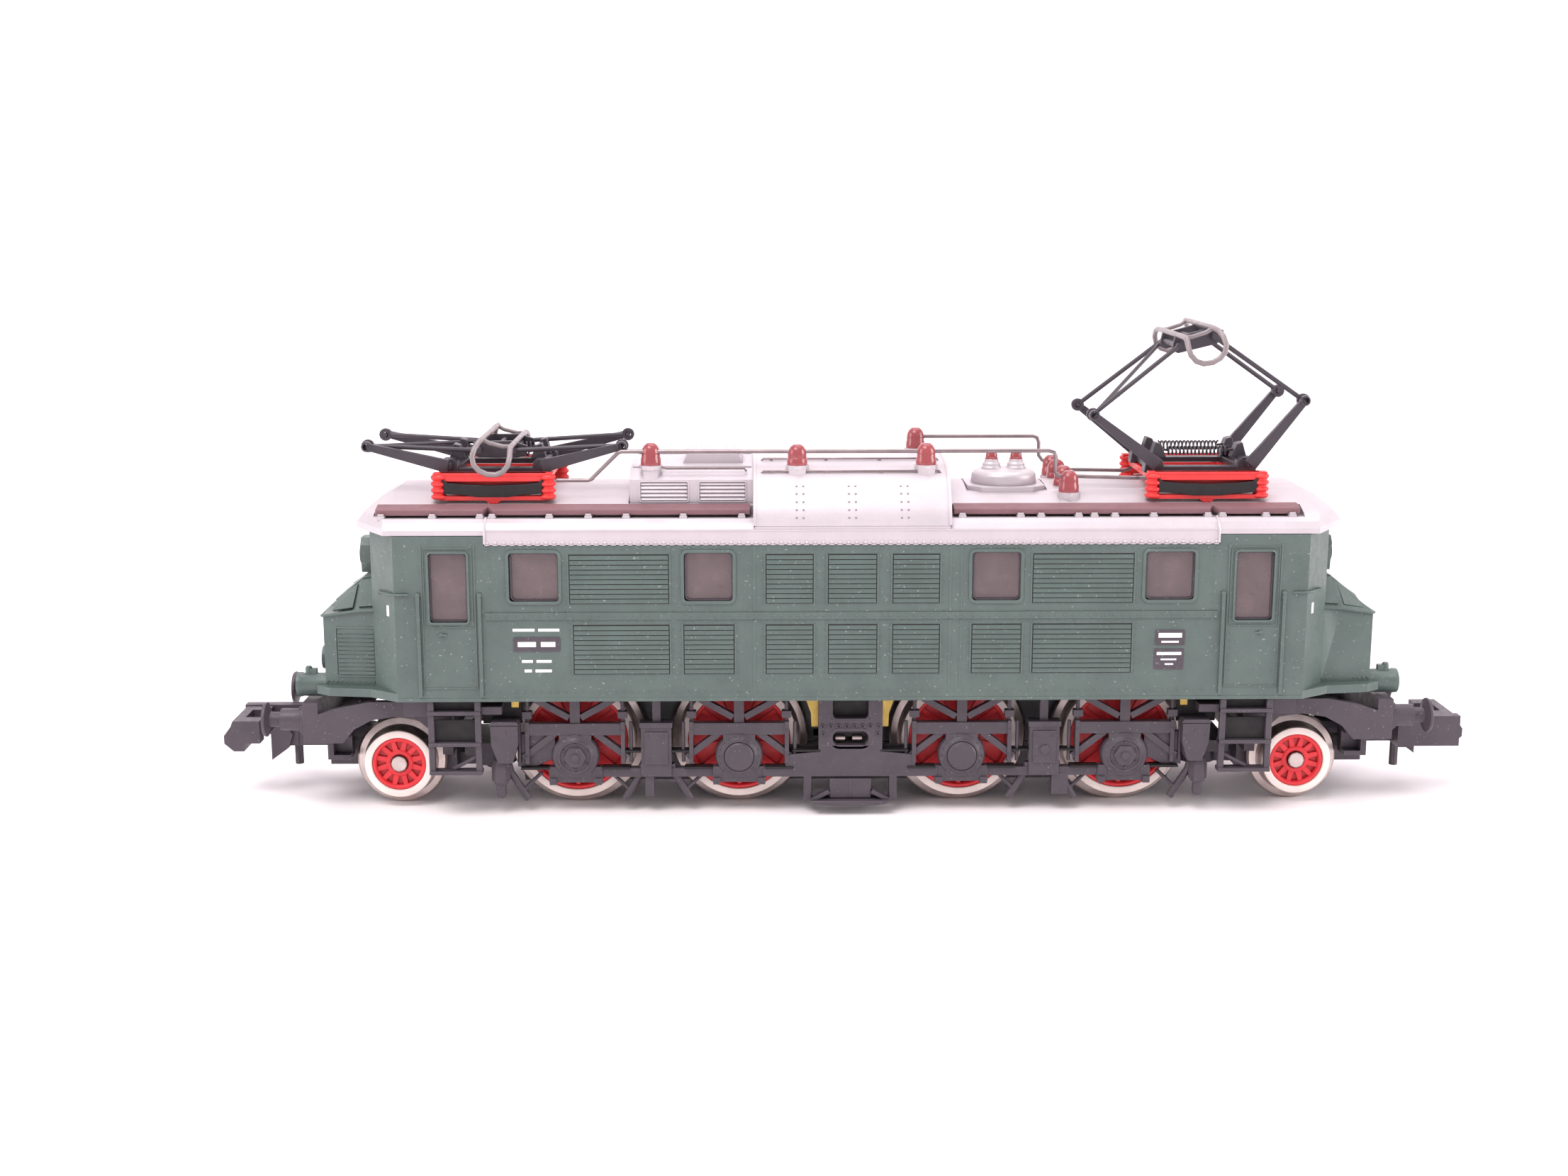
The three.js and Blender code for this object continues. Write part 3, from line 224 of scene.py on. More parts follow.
# ---- mesh helpers
def skin(bm, rings, closed=False):
    """Draws faces between neighbouring rings of points and, unless it is closed, caps both ends."""
    rings = [[bm.verts.new(point) for point in ring] for ring in rings]
    for lower, upper in zip(rings, rings[1:] + rings[:1] if closed else rings[1:]):
        count = max(len(lower), len(upper))
        for i in range(count):
            j = (i + 1) % count
            corners = dict.fromkeys((lower[i % len(lower)], lower[j % len(lower)],
                                     upper[j % len(upper)], upper[i % len(upper)]))
            bm.faces.new(tuple(corners))
    if not closed:
        for ring in (rings[0], rings[-1]):
            if len(ring) > 2:
                bm.faces.new(ring)


def beam(bm, x, y, z):
    """A block between two X values, two Y values and two Z values."""
    skin(bm, [[(x[0], y[0], h), (x[1], y[0], h), (x[1], y[1], h), (x[0], y[1], h)] for h in z])


def spot(axis, a, b, depth):
    """A point at (x, z) for y, (x, y) for z and (y, z) for x, and at a DEPTH along that axis."""
    return {"x": (depth, a, b), "y": (a, depth, b), "z": (a, b, depth)}[axis]


def plate(bm, axis, outline, span):
    """An outline extruded between two depths along an axis."""
    skin(bm, [[spot(axis, a, b, depth) for a, b in outline] for depth in span])


def spin(bm, profile, place, steps, closed=False):
    """Turns a profile of (radius, height) points about the Z axis of a placement."""
    rings = []
    for radius, height in profile:
        rings.append([place @ Vector((radius * math.cos(a), radius * math.sin(a), height))
                      for a in (circle(steps) if radius else [0])])
    skin(bm, rings, closed)


def lathe(bm, profile, centre, axis="z", steps=32, closed=False):
    """Turns a profile of (radius, distance along the axis) points about an axis through CENTRE."""
    turn = {"x": Matrix.Rotation(math.pi / 2, 4, "Y"), "y": Matrix.Rotation(-math.pi / 2, 4, "X"),
            "z": Matrix.Identity(4)}[axis]
    spin(bm, profile, Matrix.Translation(centre) @ turn, steps, closed)


def rivet(bm, point, direction, radius=0.1, height=0.06, sides=8):
    """A round rivet head that stands on POINT and faces DIRECTION."""
    turn = Vector((0, 0, 1)).rotation_difference(Vector(direction)).to_matrix().to_4x4()
    profile = ((radius, -0.03), (radius, 0.35 * height), (0.62 * radius, 0.85 * height), (0, height))
    spin(bm, profile, Matrix.Translation(point) @ turn, sides)


def tube(bm, points, radius, sides=12, closed=False):
    """A round bar along points."""
    points = [Vector(p) for p in points]
    count = len(points)
    normal = None
    rings = []
    for i, point in enumerate(points):
        before = points[(i - 1) % count] if closed or i else point
        after = points[(i + 1) % count] if closed or i + 1 < count else point
        direction = (after - before).normalized()
        if normal is None:
            helper = Vector((0, 0, 1)) if abs(direction.z) < 0.9 else Vector((0, 1, 0))
            normal = direction.cross(helper).normalized()
        normal = (normal - direction * normal.dot(direction)).normalized()
        other = direction.cross(normal)
        rings.append([point + radius * (math.cos(a) * normal + math.sin(a) * other)
                      for a in circle(sides)])
    skin(bm, rings, closed)


def row(start, end, pitch):
    """Evenly spaced values from START to END, about PITCH apart, both ends included."""
    steps = max(1, round(abs(end - start) / pitch))
    return [start + (end - start) * i / steps for i in range(steps + 1)]


def circle(steps, start=0.0):
    """Angles all round a circle, in radians."""
    return [start + 2 * math.pi * k / steps for k in range(steps)]


def rounded(a, b, radius, steps=4):
    """Outline of a rectangle with rounded corners, between two values of A and two of B."""
    points = []
    for quarter, (ca, cb, sa, sb) in enumerate(((a[1], b[1], -1, -1), (a[0], b[1], 1, -1),
                                                (a[0], b[0], 1, 1), (a[1], b[0], -1, 1))):
        for k in range(steps + 1):
            turn = math.pi / 2 * (quarter + k / steps)
            points.append((ca + radius * (sa + math.cos(turn)), cb + radius * (sb + math.sin(turn))))
    return points


def surround(bm, a, b, width, span, radius=0.3, axis="y"):
    """A flat ring of the given WIDTH round an opening, between two depths along an axis."""
    inner = rounded(a, b, radius)
    outer = rounded((a[0] - width, a[1] + width), (b[0] - width, b[1] + width), radius + width)
    skin(bm, [[spot(axis, p, q, depth) for p, q in outline] for outline, depth in (
        (outer, span[0]), (outer, span[1]), (inner, span[1]), (inner, span[0]))], closed=True)


def slab(bm, corners, out, proud):
    """A thin plate over flat CORNERS that stands PROUD of them towards OUT."""
    corners = [Vector(c) for c in corners]
    normal = (corners[1] - corners[0]).cross(corners[2] - corners[0]).normalized()
    if normal.dot(Vector(out)) < 0:
        normal.negate()
    skin(bm, [[c + normal * d for c in corners] for d in (-0.05, proud)])


def slats(bm, x, z, pitch, wall, proud):
    """Overlapping louvre slats on a wall, each with a narrow slit above it."""
    step = (z[1] - z[0]) / round((z[1] - z[0]) / pitch)
    for foot in row(z[0], z[1] - step, step):
        top = foot + step - 0.08
        plate(bm, "x", [(wall + 0.1, foot), (wall - proud, foot), (wall - proud, foot + 0.05),
                        (wall - 0.05, top), (wall + 0.1, top)], x)


def mirrored(bm, *blocks):
    """Blocks at (x, y, z) spans, each also at the opposite X."""
    for x, y, z in blocks:
        beam(bm, x, y, z)
        beam(bm, (-x[0], -x[1]), y, z)


def strut(bm, start, end, width, depth):
    """A flat bar in the side plane from one (x, z) to another, between two Y values."""
    a, b = Vector(start), Vector(end)
    side = (b - a).normalized()
    side = Vector((-side.y, side.x)) * width / 2
    plate(bm, "y", (a - side, b - side, b + side, a + side), depth)


def coil(bm, start, end, radius, wire, turns):
    """A wound spring between two points."""
    start, end = Vector(start), Vector(end)
    along = (end - start).normalized()
    first = along.cross(Vector((0, 1, 0))).normalized()
    second = along.cross(first)
    per_turn = 12
    points = []
    for k in range(turns * per_turn + 1):
        a = 2 * math.pi * k / per_turn
        middle = start.lerp(end, k / (turns * per_turn))
        points.append(middle + radius * (math.cos(a) * first + math.sin(a) * second))
    tube(bm, points, wire, sides=6)


def add_object(name, data):
    obj = bpy.data.objects.new(name, data)
    bpy.context.scene.collection.objects.link(obj)
    return obj


def mesh_object(name, bm, material):
    """Turns a bmesh into a smooth object with one material."""
    mesh = bpy.data.meshes.new(name)
    bm.to_mesh(mesh)
    bm.free()
    mesh.materials.append(material)
    mesh.polygons.foreach_set("use_smooth", [True] * len(mesh.polygons))
    return add_object(name, mesh)


def soften(obj, width):
    """Rounds an object's edges."""
    bevel = obj.modifiers.new("edges", "BEVEL")
    bevel.width = width * MM
    bevel.segments = 2
    bevel.limit_method = "ANGLE"
    bevel.angle_limit = math.radians(35)
    bevel.harden_normals = False


def piece(name, draw, slot, body=ROOT, args=(), bevel=0.0, stands_for=(), turned=False, smooth=40):
    """Makes an object of what DRAW draws, gives it its finish, and lets it ride on a body."""
    bm = bmesh.new()
    draw(bm, *args)
    bmesh.ops.recalc_face_normals(bm, faces=bm.faces)
    place = Matrix.Rotation(math.pi, 4, "Z") if turned else Matrix.Identity(4)
    bm.transform(Matrix.Scale(MM, 4) @ place)
    obj = mesh_object(name, bm, MATERIALS[slot])
    obj.data.set_sharp_from_angle(angle=math.radians(smooth))
    if bevel:
        soften(obj, bevel)
    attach(obj, body)
    if stands_for:
        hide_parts(*stands_for)


def twins(names, *parts):
    """Makes each part as drawn and turned, named after its drawing function and one of two NAMES."""
    for name, turned in zip(names, (False, True)):
        for draw, slot, *more in parts:
            piece(f"{draw.__name__}_{name}", draw, slot, turned=turned, **(more[0] if more else {}))


# ---- CAD nodes that stay
def dress(slot, bevel, *names):
    """Gives CAD nodes their finish and rounds their edges."""
    for name in names:
        obj = NODES[name]
        obj.data.materials.clear()
        obj.data.materials.append(MATERIALS[slot])
        if bevel:
            weld = obj.modifiers.new("weld", "WELD")
            weld.merge_threshold = 0.001 * MM
            soften(obj, bevel)


dress("zinc_casting", 0.0, "chassis_block")
dress("underframe_black", 0.0, "keeper_plate")
dress("shell_green", 0.1, "body_shell")
dress("window_clear", 0.0, "window_glazing")
dress("roof_silver", 0.1, "roof", "vent_box")
dress("motor_steel", 0.0, "motor_frame")
dress("motor_copper", 0.0, "motor_armature")
dress("axle_steel", 0.0, *[f"driver_{i}_axle" for i in range(1, 5)])
for end in ENDS:
    dress("underframe_black", 0.08, f"pony_truck_{end}", f"coupler_{end}")
    dress("walkway_brown", 0.08, *[f"walkway_{end}_{side}" for side in SIDES])
    dress("gear_plastic", 0.0, f"middle_gear_{end}", f"idler_gear_{end}")
    dress("axle_steel", 0.0, f"carrier_{end}_axle")
    dress("pantograph_dark", 0.07, *[f"pantograph_{end}_lower_arm_{arm}" for arm in "ab"])


# ---- body side
WALL = -9.3
INSIDE = WALL + 0.1
OUTWARD = (0, -1, 0)
SIDE_WINDOWS = ((-28.2, -24.15), (-13.85, -9.85), (9.85, 13.85), (24.15, 28.2))
WINDOW_Z = (18.7, 22.75)
DOOR_WINDOW_Z = (16.96, 22.71)
DOOR_WINDOWS = ((-34.75, -31.65), (31.65, 34.75))
UPPER_LOUVRES = ((-23.2, -15.15), (-7.06, -3.28), (-1.95, 1.94), (3.38, 7.12), (14.9, 23.1))
LOWER_LOUVRES = ((-22.95, -15.15), (-13.85, -9.8), (-7.07, -3.27), (-1.92, 2.0), (3.4, 7.18),
                 (9.95, 13.93), (15.0, 23.1))
LOUVRES = [(x, (18.55, 22.6)) for x in UPPER_LOUVRES] + [(x, (12.6, 16.7)) for x in LOWER_LOUVRES]
RIVET_ROW = row(-29.9, 29.9, 0.685)


def body_louvres(bm):
    for x, z in LOUVRES:
        slats(bm, x, z, 0.41, WALL, 0.1)
        for edge, step in ((x[0], -1), (x[1], 1)):
            beam(bm, (edge + 0.09 * step, edge + 0.22 * step), (INSIDE, WALL - 0.05),
                 (z[0] - 0.1, z[1] + 0.1))


def louvre_slots(bm):
    """A dark backing that shows in the slits between the slats: painted shade in the slits."""
    for x, z in LOUVRES:
        beam(bm, (x[0] - 0.07, x[1] + 0.07), (WALL - 0.02, INSIDE), (z[0] - 0.07, z[1] + 0.02))


def body_rivets(bm):
    for z, y, size in ((23.08, WALL, 0.11), (17.48, WALL - 0.12, 0.12), (11.05, WALL, 0.11)):
        for x in RIVET_ROW:
            rivet(bm, (x, y, z), OUTWARD, size, 0.08)
    small = [(x, z) for x0, x1 in UPPER_LOUVRES + LOWER_LOUVRES[2:5]
             for x in (x0 - 0.42, x1 + 0.42) for z in row(17.9, 23.0, 0.64)]
    small += [(s * x, z) for x in (29.75, 31.4, 34.95, 36.9) for s in (-1, 1)
              for z in (row(17.9, 23.0, 0.64) if x < 30 else row(11.4, 23.6, 0.64))]
    for x0, x1 in LOWER_LOUVRES:
        small += [(x, z) for x in (x0 - 0.42, x1 + 0.42) for z in row(12.1, 16.9, 0.62)]
        small += [(x, z) for z in (12.1, 16.98) for x in row(x0, x1, 0.66)]
    for x, z in small:
        rivet(bm, (x, WALL, z), OUTWARD, 0.07, 0.05)


def body_frames(bm):
    """Window and door frames, joint strips, handrail ends and the sill edge."""
    shallow = (WALL - 0.07, INSIDE)
    deep = (WALL - 0.12, INSIDE)
    for x in SIDE_WINDOWS:
        surround(bm, x, WINDOW_Z, 0.26, deep, 0.3)
    for x in DOOR_WINDOWS:
        surround(bm, x, DOOR_WINDOW_Z, 0.2, deep, 0.2)
        surround(bm, (x[0] - 0.38, x[1] + 0.38), (DOOR_WINDOW_Z[0] - 0.38, DOOR_WINDOW_Z[1] + 0.38),
                 0.1, shallow, 0.2)
    for s in (-1, 1):
        leaf = (s * 31.0, s * 35.35)
        for x in leaf:
            beam(bm, (x - 0.06, x + 0.06), shallow, (11.35, 23.4))
        beam(bm, leaf, shallow, (11.3, 11.42))
        for x in (s * 30.65, s * 35.7):
            for z in (11.2, 15.0, 18.9):
                beam(bm, (x - 0.17, x + 0.17), (WALL - 0.24, INSIDE), (z - 0.09, z + 0.09))
            rivet(bm, (x, WALL - 0.1, 19.25), OUTWARD, 0.2, 0.14, 12)
        rivet(bm, (s * 33.9, WALL, 15.9), OUTWARD, 0.2, 0.18, 12)
        beam(bm, (s * 33.4, s * 33.95), (WALL - 0.2, WALL - 0.1), (15.85, 16.0))
    for x in ((-8.2, -7.95), (7.96, 8.18), (8.9, 9.06)):
        for z in ((11.4, 17.15), (17.8, 23.3)):
            beam(bm, x, (WALL - 0.035, INSIDE), z)
    beam(bm, (-37.6, 37.6), (WALL - 0.05, INSIDE), (10.22, 10.5))


def window_gaskets_and_shade(bm):
    # Dark rings inside the window openings: gaskets, and painted shade of the reveals.
    depth = (-9.16, -8.97)
    for x in SIDE_WINDOWS:
        surround(bm, (x[0] + 0.2, x[1] - 0.1), (WINDOW_Z[0] + 0.14, WINDOW_Z[1] - 0.1), 0.13, depth, 0.3)
    for x in DOOR_WINDOWS:
        surround(bm, (x[0] + 0.12, x[1] - 0.12), (DOOR_WINDOW_Z[0] + 0.14, DOOR_WINDOW_Z[1] - 0.14),
                 0.1, depth, 0.2)


PLATE_FRONT = WALL - 0.06


def blank_plates(bm):
    """Dark plates without any writing."""
    for x, z in (((-27.95, -24.1), (14.5, 15.7)), ((25.15, 27.6), (14.85, 16.15)),
                 ((25.1, 27.55), (12.8, 14.55))):
        plate(bm, "y", rounded(x, z, 0.08, 2), (PLATE_FRONT, INSIDE))


def plain_dashes(bm):
    """Plain white dashes where a model has its printed lines, and the plain end marks."""
    for y, z, height, *dashes in (
            (PLATE_FRONT, 15.1, 0.42, (-27.6, -26.1), (-25.7, -24.5)),
            (WALL, 16.3, 0.24, (-28.0, -26.2), (-25.9, -24.15)),
            (WALL, 13.65, 0.24, (-27.3, -26.4), (-26.1, -24.85)),
            (WALL, 12.84, 0.24, (-27.1, -26.5), (-26.2, -24.85)),
            (PLATE_FRONT, 15.7, 0.4, (25.4, 27.35)),
            (PLATE_FRONT, 15.15, 0.16, (25.65, 27.1)),
            (PLATE_FRONT, 14.15, 0.26, (25.3, 27.35)),
            (PLATE_FRONT, 13.65, 0.14, (25.65, 26.95)),
            (PLATE_FRONT, 13.25, 0.14, (26.0, 26.7))):
        for x in dashes:
            beam(bm, x, (y - 0.015, y + 0.02), (z - height / 2, z + height / 2))
    for s in (-1, 1):
        slab(bm, [(s * 38.2, -8.62, 17.35), (s * 38.42, -8.35, 17.35), (s * 38.42, -8.35, 18.25),
                  (s * 38.2, -8.62, 18.25)], (s, -1, 0), 0.05)


def corner_rails(bm):
    """Handrails round the slanted corners, beside the hoods."""
    for s in (-1, 1):
        points = [(s * 39.15, -7.55, 19.2), (s * 39.2, -7.95, 19.3), (s * 38.0, -9.2, 19.3),
                  (s * 37.4, -9.42, 19.3), (s * 36.5, -9.43, 19.3), (s * 36.4, -9.25, 19.2)]
        tube(bm, points, 0.1, 10)
        for point in (points[0], points[-1]):
            rivet(bm, point, OUTWARD, 0.18, 0.1, 10)


twins(SIDES, (body_louvres, "shell_green", {"smooth": 20}), (louvre_slots, "shadow_black"),
      (body_rivets, "shell_green"), (body_frames, "shell_green", {"bevel": 0.03}),
      (window_gaskets_and_shade, "underframe_black"), (blank_plates, "underframe_black"),
      (plain_dashes, "marking_white"), (corner_rails, "shell_green"))


# ---- hoods and lamps
LAMP_Y, LAMP_Z = 5, 10.7
TOP_LAMP_Z = 21.1


def hood_wall(x):
    """Half width of a hood at a distance X from the middle."""
    return 6.4 - 0.098 * (abs(x) - 39.2)


def hood_trim(bm):
    """The side louvre of the left hood, its roof lip and panels, and its base rivets."""
    slats(bm, (-43.1, -40.0), (11.85, 15.75), 0.36, -6.4, 0.16)
    surround(bm, (-43.2, -39.9), (11.75, 15.8), 0.14, (-6.52, -6.3), 0.05)
    for vert in bm.verts:
        vert.co.y += 6.4 - hood_wall(vert.co.x)
    rim = [(-38.95, 6.5, 17.45), (-41.5, 6.36, 17.28), (-44.15, 6.02, 16.85), (-44.42, 5.8, 16.82)]
    tube(bm, [(x, -y, z) for x, y, z in rim] + rim[::-1], 0.13, 8)
    slab(bm, [(-39.3, -2.7, 19.8), (-41.5, -2.6, 19.3), (-41.5, 2.6, 19.3), (-39.3, 2.7, 19.8)],
         (0, 0, 1), 0.14)
    slab(bm, [(-41.6, -2.4, 19.22), (-43.9, -2.2, 17.4), (-43.9, 2.2, 17.4), (-41.6, 2.4, 19.22)],
         (0, 0, 1), 0.1)
    for s in (-1, 1):
        slab(bm, [(-39.25, s * 3.6, 19.65), (-39.25, s * 6.15, 17.7), (-41.2, s * 6.05, 17.58),
                  (-41.2, s * 3.5, 19.2)], (0, s, 1), 0.14)
        slab(bm, [(-41.75, s * 3.35, 19.03), (-41.75, s * 5.9, 17.5), (-43.5, s * 5.65, 17.2),
                  (-43.5, s * 3.1, 17.8)], (0, s, 1), 0.1)
        for x in row(-44.1, -38.9, 0.4):
            rivet(bm, (x, s * hood_wall(x), 11.2), (0, s, 0), 0.1, 0.09)
        lathe(bm, [(0, -0.1), (0.34, -0.1), (0.36, 0.15), (0.2, 0.35), (0, 0.38)],
              (-39.35, s * 6.45, 17.6), "z", 14)


def lamp_bodies(bm):
    for s in (-1, 1):
        lathe(bm, [(0.82, -46.9), (1.04, -46.86), (1.06, -46.5), (1.0, -46.4), (1.0, -44.3), (0.82, -44.3)],
              (0, s * LAMP_Y, LAMP_Z), "x", 32, closed=True)
        lathe(bm, [(0, 0.9), (0.3, 0.9), (0.3, 1.45), (0.2, 1.6), (0, 1.62)],
              (-45.9, s * LAMP_Y, LAMP_Z), "z", 12)
        window = sorted((s * 1.9, s * 5.2))
        surround(bm, window, (20.2, 22.9), 0.24, (-40.1, -39.9), 0.25, axis="x")
    lathe(bm, [(0.62, -42.08), (0.86, -42.05), (0.9, -41.7), (0.62, -41.7)], (0, 0, TOP_LAMP_Z), "x", 28,
          closed=True)


def lamp_glasses(bm):
    for y, z, x, r in ((-LAMP_Y, LAMP_Z, -46.6, 0.84), (LAMP_Y, LAMP_Z, -46.6, 0.84),
                       (0, TOP_LAMP_Z, -41.9, 0.64)):
        lathe(bm, [(0, x - 0.22), (0.5 * r, x - 0.16), (0.85 * r, x - 0.04), (r, x + 0.1), (0, x + 0.1)],
              (0, y, z), "x", 24)


twins(ENDS, (hood_trim, "shell_green", {"bevel": 0.03, "smooth": 30}), (lamp_bodies, "shell_green"),
      (lamp_glasses, "marking_white"))


# ---- silver roof
HUMP = ((9.3, 24.9), (8.7, 26.3), (7.4, 27.9), (5.7, 28.9), (3.0, 29.5), (0.0, 29.62))
VENT_OPENINGS = ((-17.5, -13.6), (-12.6, -8.8))


def roof_z(y):
    return 24.95 + 2.4 * (1 - (y / 9.3) ** 2)


def smooth_line(points, steps=6):
    """A smooth curve through 2D points."""
    ends = [points[0]] + list(points) + [points[-1]]
    curve = []
    for i in range(1, len(ends) - 2):
        p0, p1, p2, p3 = (Vector(ends[i + k]) for k in (-1, 0, 1, 2))
        for k in range(steps):
            t = k / steps
            curve.append(0.5 * ((2 * p1) + (p2 - p0) * t + (2 * p0 - 5 * p1 + 4 * p2 - p3) * t * t
                                + (3 * p1 - p0 - 3 * p2 + p3) * t ** 3))
    return curve + [Vector(points[-1])]


HUMP_LINE = smooth_line(HUMP)


def on_hump(height):
    """The Y of the near side of the hump at a HEIGHT, and the direction (y, z) it faces."""
    low, high = next((a, b) for a, b in zip(HUMP_LINE, HUMP_LINE[1:]) if a.y <= height <= b.y)
    point = low.lerp(high, (height - low.y) / (high.y - low.y))
    return -point.x, (low.y - high.y, low.x - high.x)


def hump_skin(bm):
    """The rounded cover of the hump, with a folded edge at each end."""
    for grow, x in ((0.04, (-8.0, 8.0)), (0.09, (-8.14, -7.9)), (0.09, (7.9, 8.14))):
        half = [(p.x + grow, p.y + grow) for p in HUMP_LINE[:-1]]
        top = [(0.0, HUMP_LINE[-1].y + grow)]
        plate(bm, "x", [(9.0, 24.9)] + half + top + [(-y, z) for y, z in half[::-1]] + [(-9.0, 24.9)], x)


def hump_rivets(bm):
    # The rivets are darker grey than the roof: painted shade on them.
    for x in (-4.3, 0.0, 4.3):
        for height in (25.55, 26.15, 26.75, 27.35, 27.9):
            y, (ny, nz) = on_hump(height)
            for dx in (-0.28, 0.28):
                rivet(bm, (x + dx, y - 0.03, height + 0.02), (0, ny, nz), 0.1, 0.07)


def roof_trim(bm):
    """Rivets, joint ribs and walkway pegs of the near half of the roof."""
    for x in RIVET_ROW:
        rivet(bm, (x, WALL, 23.6), OUTWARD, 0.15, 0.13, 10)
        beam(bm, (x - 0.19, x + 0.19), (WALL - 0.1, INSIDE), (23.38, 23.47))
    for x in (-30.1, 30.1):
        tube(bm, [(x, -9.33, 23.5), (x, -9.34, 24.62), (x, -8.95, roof_z(8.95)), (x, -8.2, roof_z(8.2))],
             0.11, 8)
        tube(bm, [(x, y, roof_z(y) - 0.02) for y in row(-6.2, 0, 0.7)], 0.09, 8)
    for x in (-38.7, -34.5, -30.6, -29.6, -24.9, -21.7, -18.6, -13.9, -9.1,
              9.1, 13.9, 15.6, 18.7, 20.0, 21.7, 24.9, 29.4, 30.6, 34.2, 36.4):
        beam(bm, (x - 0.3, x + 0.3), (-8.2, -7.0), (25.3, 25.62))
        beam(bm, (x - 0.24, x + 0.24), (-8.1, -7.86), (25.6, 25.78))
    beam(bm, (-30.0, 30.0), (WALL - 0.05, INSIDE), (24.55, 24.68))


def roof_pipes(bm):
    """Two thin conduits along the hump and the wire along the vent box."""
    for y, z in ((-5.95, 29.0), (-3.2, 29.68)):
        tube(bm, [(-7.5, y, z - 0.25), (-7.3, y, z), (7.3, y, z), (7.5, y, z - 0.25)], 0.09, 10)
        for x in (-6.6, -2.0, 2.5, 7.0):
            beam(bm, (x - 0.12, x + 0.12), (y - 0.14, y + 0.14), (z - 0.35, z - 0.02))
    tube(bm, [(-15.95, -5.3, 29.3), (-15.3, -5.3, 29.15), (-8.9, -5.3, 29.15), (-8.7, -5.3, 28.9)], 0.1, 8)


def vent_louvres(bm):
    for x0, x1 in VENT_OPENINGS:
        for s in (-1, 1):
            for z in row(26.66, 27.95, 0.32):
                slab(bm, [(x0 + 0.04, s * 5.84, z + 0.14), (x1 - 0.04, s * 5.84, z + 0.14),
                          (x1 - 0.04, s * 5.98, z - 0.1), (x0 + 0.04, s * 5.98, z - 0.1)], (0, s, 0.5), 0.06)


def vent_backs(bm):
    # A darker grey backing behind the vent slats: painted shade in the recesses.
    for x0, x1 in VENT_OPENINGS:
        for s in (-1, 1):
            beam(bm, (x0 + 0.02, x1 - 0.02), (s * 5.7, s * 5.79), (26.52, 28.08))


def vent_trim(bm):
    for s in (-1, 1):
        for x in VENT_OPENINGS:
            surround(bm, x, (26.5, 28.1), 0.13, (s * 5.9, s * 6.06), 0.12)
        beam(bm, (-18.2, -8.3), (s * 4.35, s * 4.5), (29.1, 29.24))
        for x in row(-13.4, -9.7, 0.74):
            rivet(bm, (x, s * 1.9, 30.12), (0, 0, 1), 0.09, 0.07)
    plate(bm, "y", [(-14.0, 29.95), (-9.1, 29.95), (-9.4, 30.12), (-13.7, 30.12)], (-2.2, 2.2))


twins(SIDES, (roof_trim, "roof_silver"), (hump_rivets, "pantograph_head_grey"))
piece("hump_skin", hump_skin, "roof_silver", smooth=50)
piece("roof_pipes", roof_pipes, "spring_steel")
piece("vent_louvres", vent_louvres, "roof_silver")
piece("vent_backs", vent_backs, "pantograph_head_grey")
piece("vent_trim", vent_trim, "roof_silver", bevel=0.04)


# ---- transformer and roof lines
DOME = Vector((13.3, -1.0, 27.05))
BUSHING_X = (-1.05, 1.05)
INSULATORS = {
    "near": ((-16.65, -5.2, 29.12, 31.3), (-4.48, -5.5, 29.17, 31.2), (6.25, -5.5, 29.17, 31.3),
             (18.3, -5.0, 26.77, 28.9)),
    "far": ((6.25, 5.5, 29.17, 31.3), (18.3, 5.0, 26.77, 28.9)),
    "inner": ((18.3, -2.0, 26.9, 28.9), (18.3, 2.0, 26.9, 28.9)),
}


def dome_bell(bm):
    plate(bm, "z", [(DOME.x + x, DOME.y + y) for x, y in (
        (-3.3, -1.9), (-2.2, -3.0), (2.2, -3.0), (3.3, -1.9),
        (3.3, 1.9), (2.2, 3.0), (-2.2, 3.0), (-3.3, 1.9))], (DOME.z - 0.6, DOME.z + 0.3))
    lathe(bm, [(0, 0.2), (2.72, 0.2), (2.78, 0.3), (2.74, 1.0), (2.6, 1.25), (2.2, 1.45), (0, 1.6)],
          DOME, "z", 56)
    for x in BUSHING_X:
        lathe(bm, [(0, 1.3), (0.86, 1.3), (0.86, 1.62), (0.76, 1.7), (0.76, 1.95), (0.62, 2.05),
                   (0.6, 2.3), (0, 2.3)], DOME + Vector((x, 0, 0)), "z", 32)


def dome_bushings(bm):
    for x in BUSHING_X:
        lathe(bm, [(0, 2.2), (0.56, 2.2), (0.56, 2.4), (0.5, 2.46), (0.5, 2.68), (0.46, 2.74),
                   (0.46, 2.96), (0.36, 3.1), (0, 3.1)], DOME + Vector((x, 0, 0)), "z", 28)


def insulators(bm, places):
    """Bell insulators, each at (x, y, foot, top)."""
    for x, y, foot, top in places:
        lathe(bm, [(r, part * (top - foot)) for r, part in (
            (0, 0.04), (0.82, 0.04), (0.85, 0.2), (0.82, 0.42), (0.77, 0.45), (0.78, 0.6), (0.72, 0.76),
            (0.57, 0.89), (0.34, 0.98), (0, 1.0))], (x, y, foot), "z", 40)


def insulator_feet(bm):
    for x, y, foot, top in INSULATORS["near"] + INSULATORS["far"] + INSULATORS["inner"]:
        radii = [(0.9 + 0.06 * math.cos(8 * a), a) for a in circle(32)]
        plate(bm, "z", [(x + r * math.cos(a), y + r * math.sin(a)) for r, a in radii],
              (foot - 0.02, foot + 0.15 * (top - foot)))


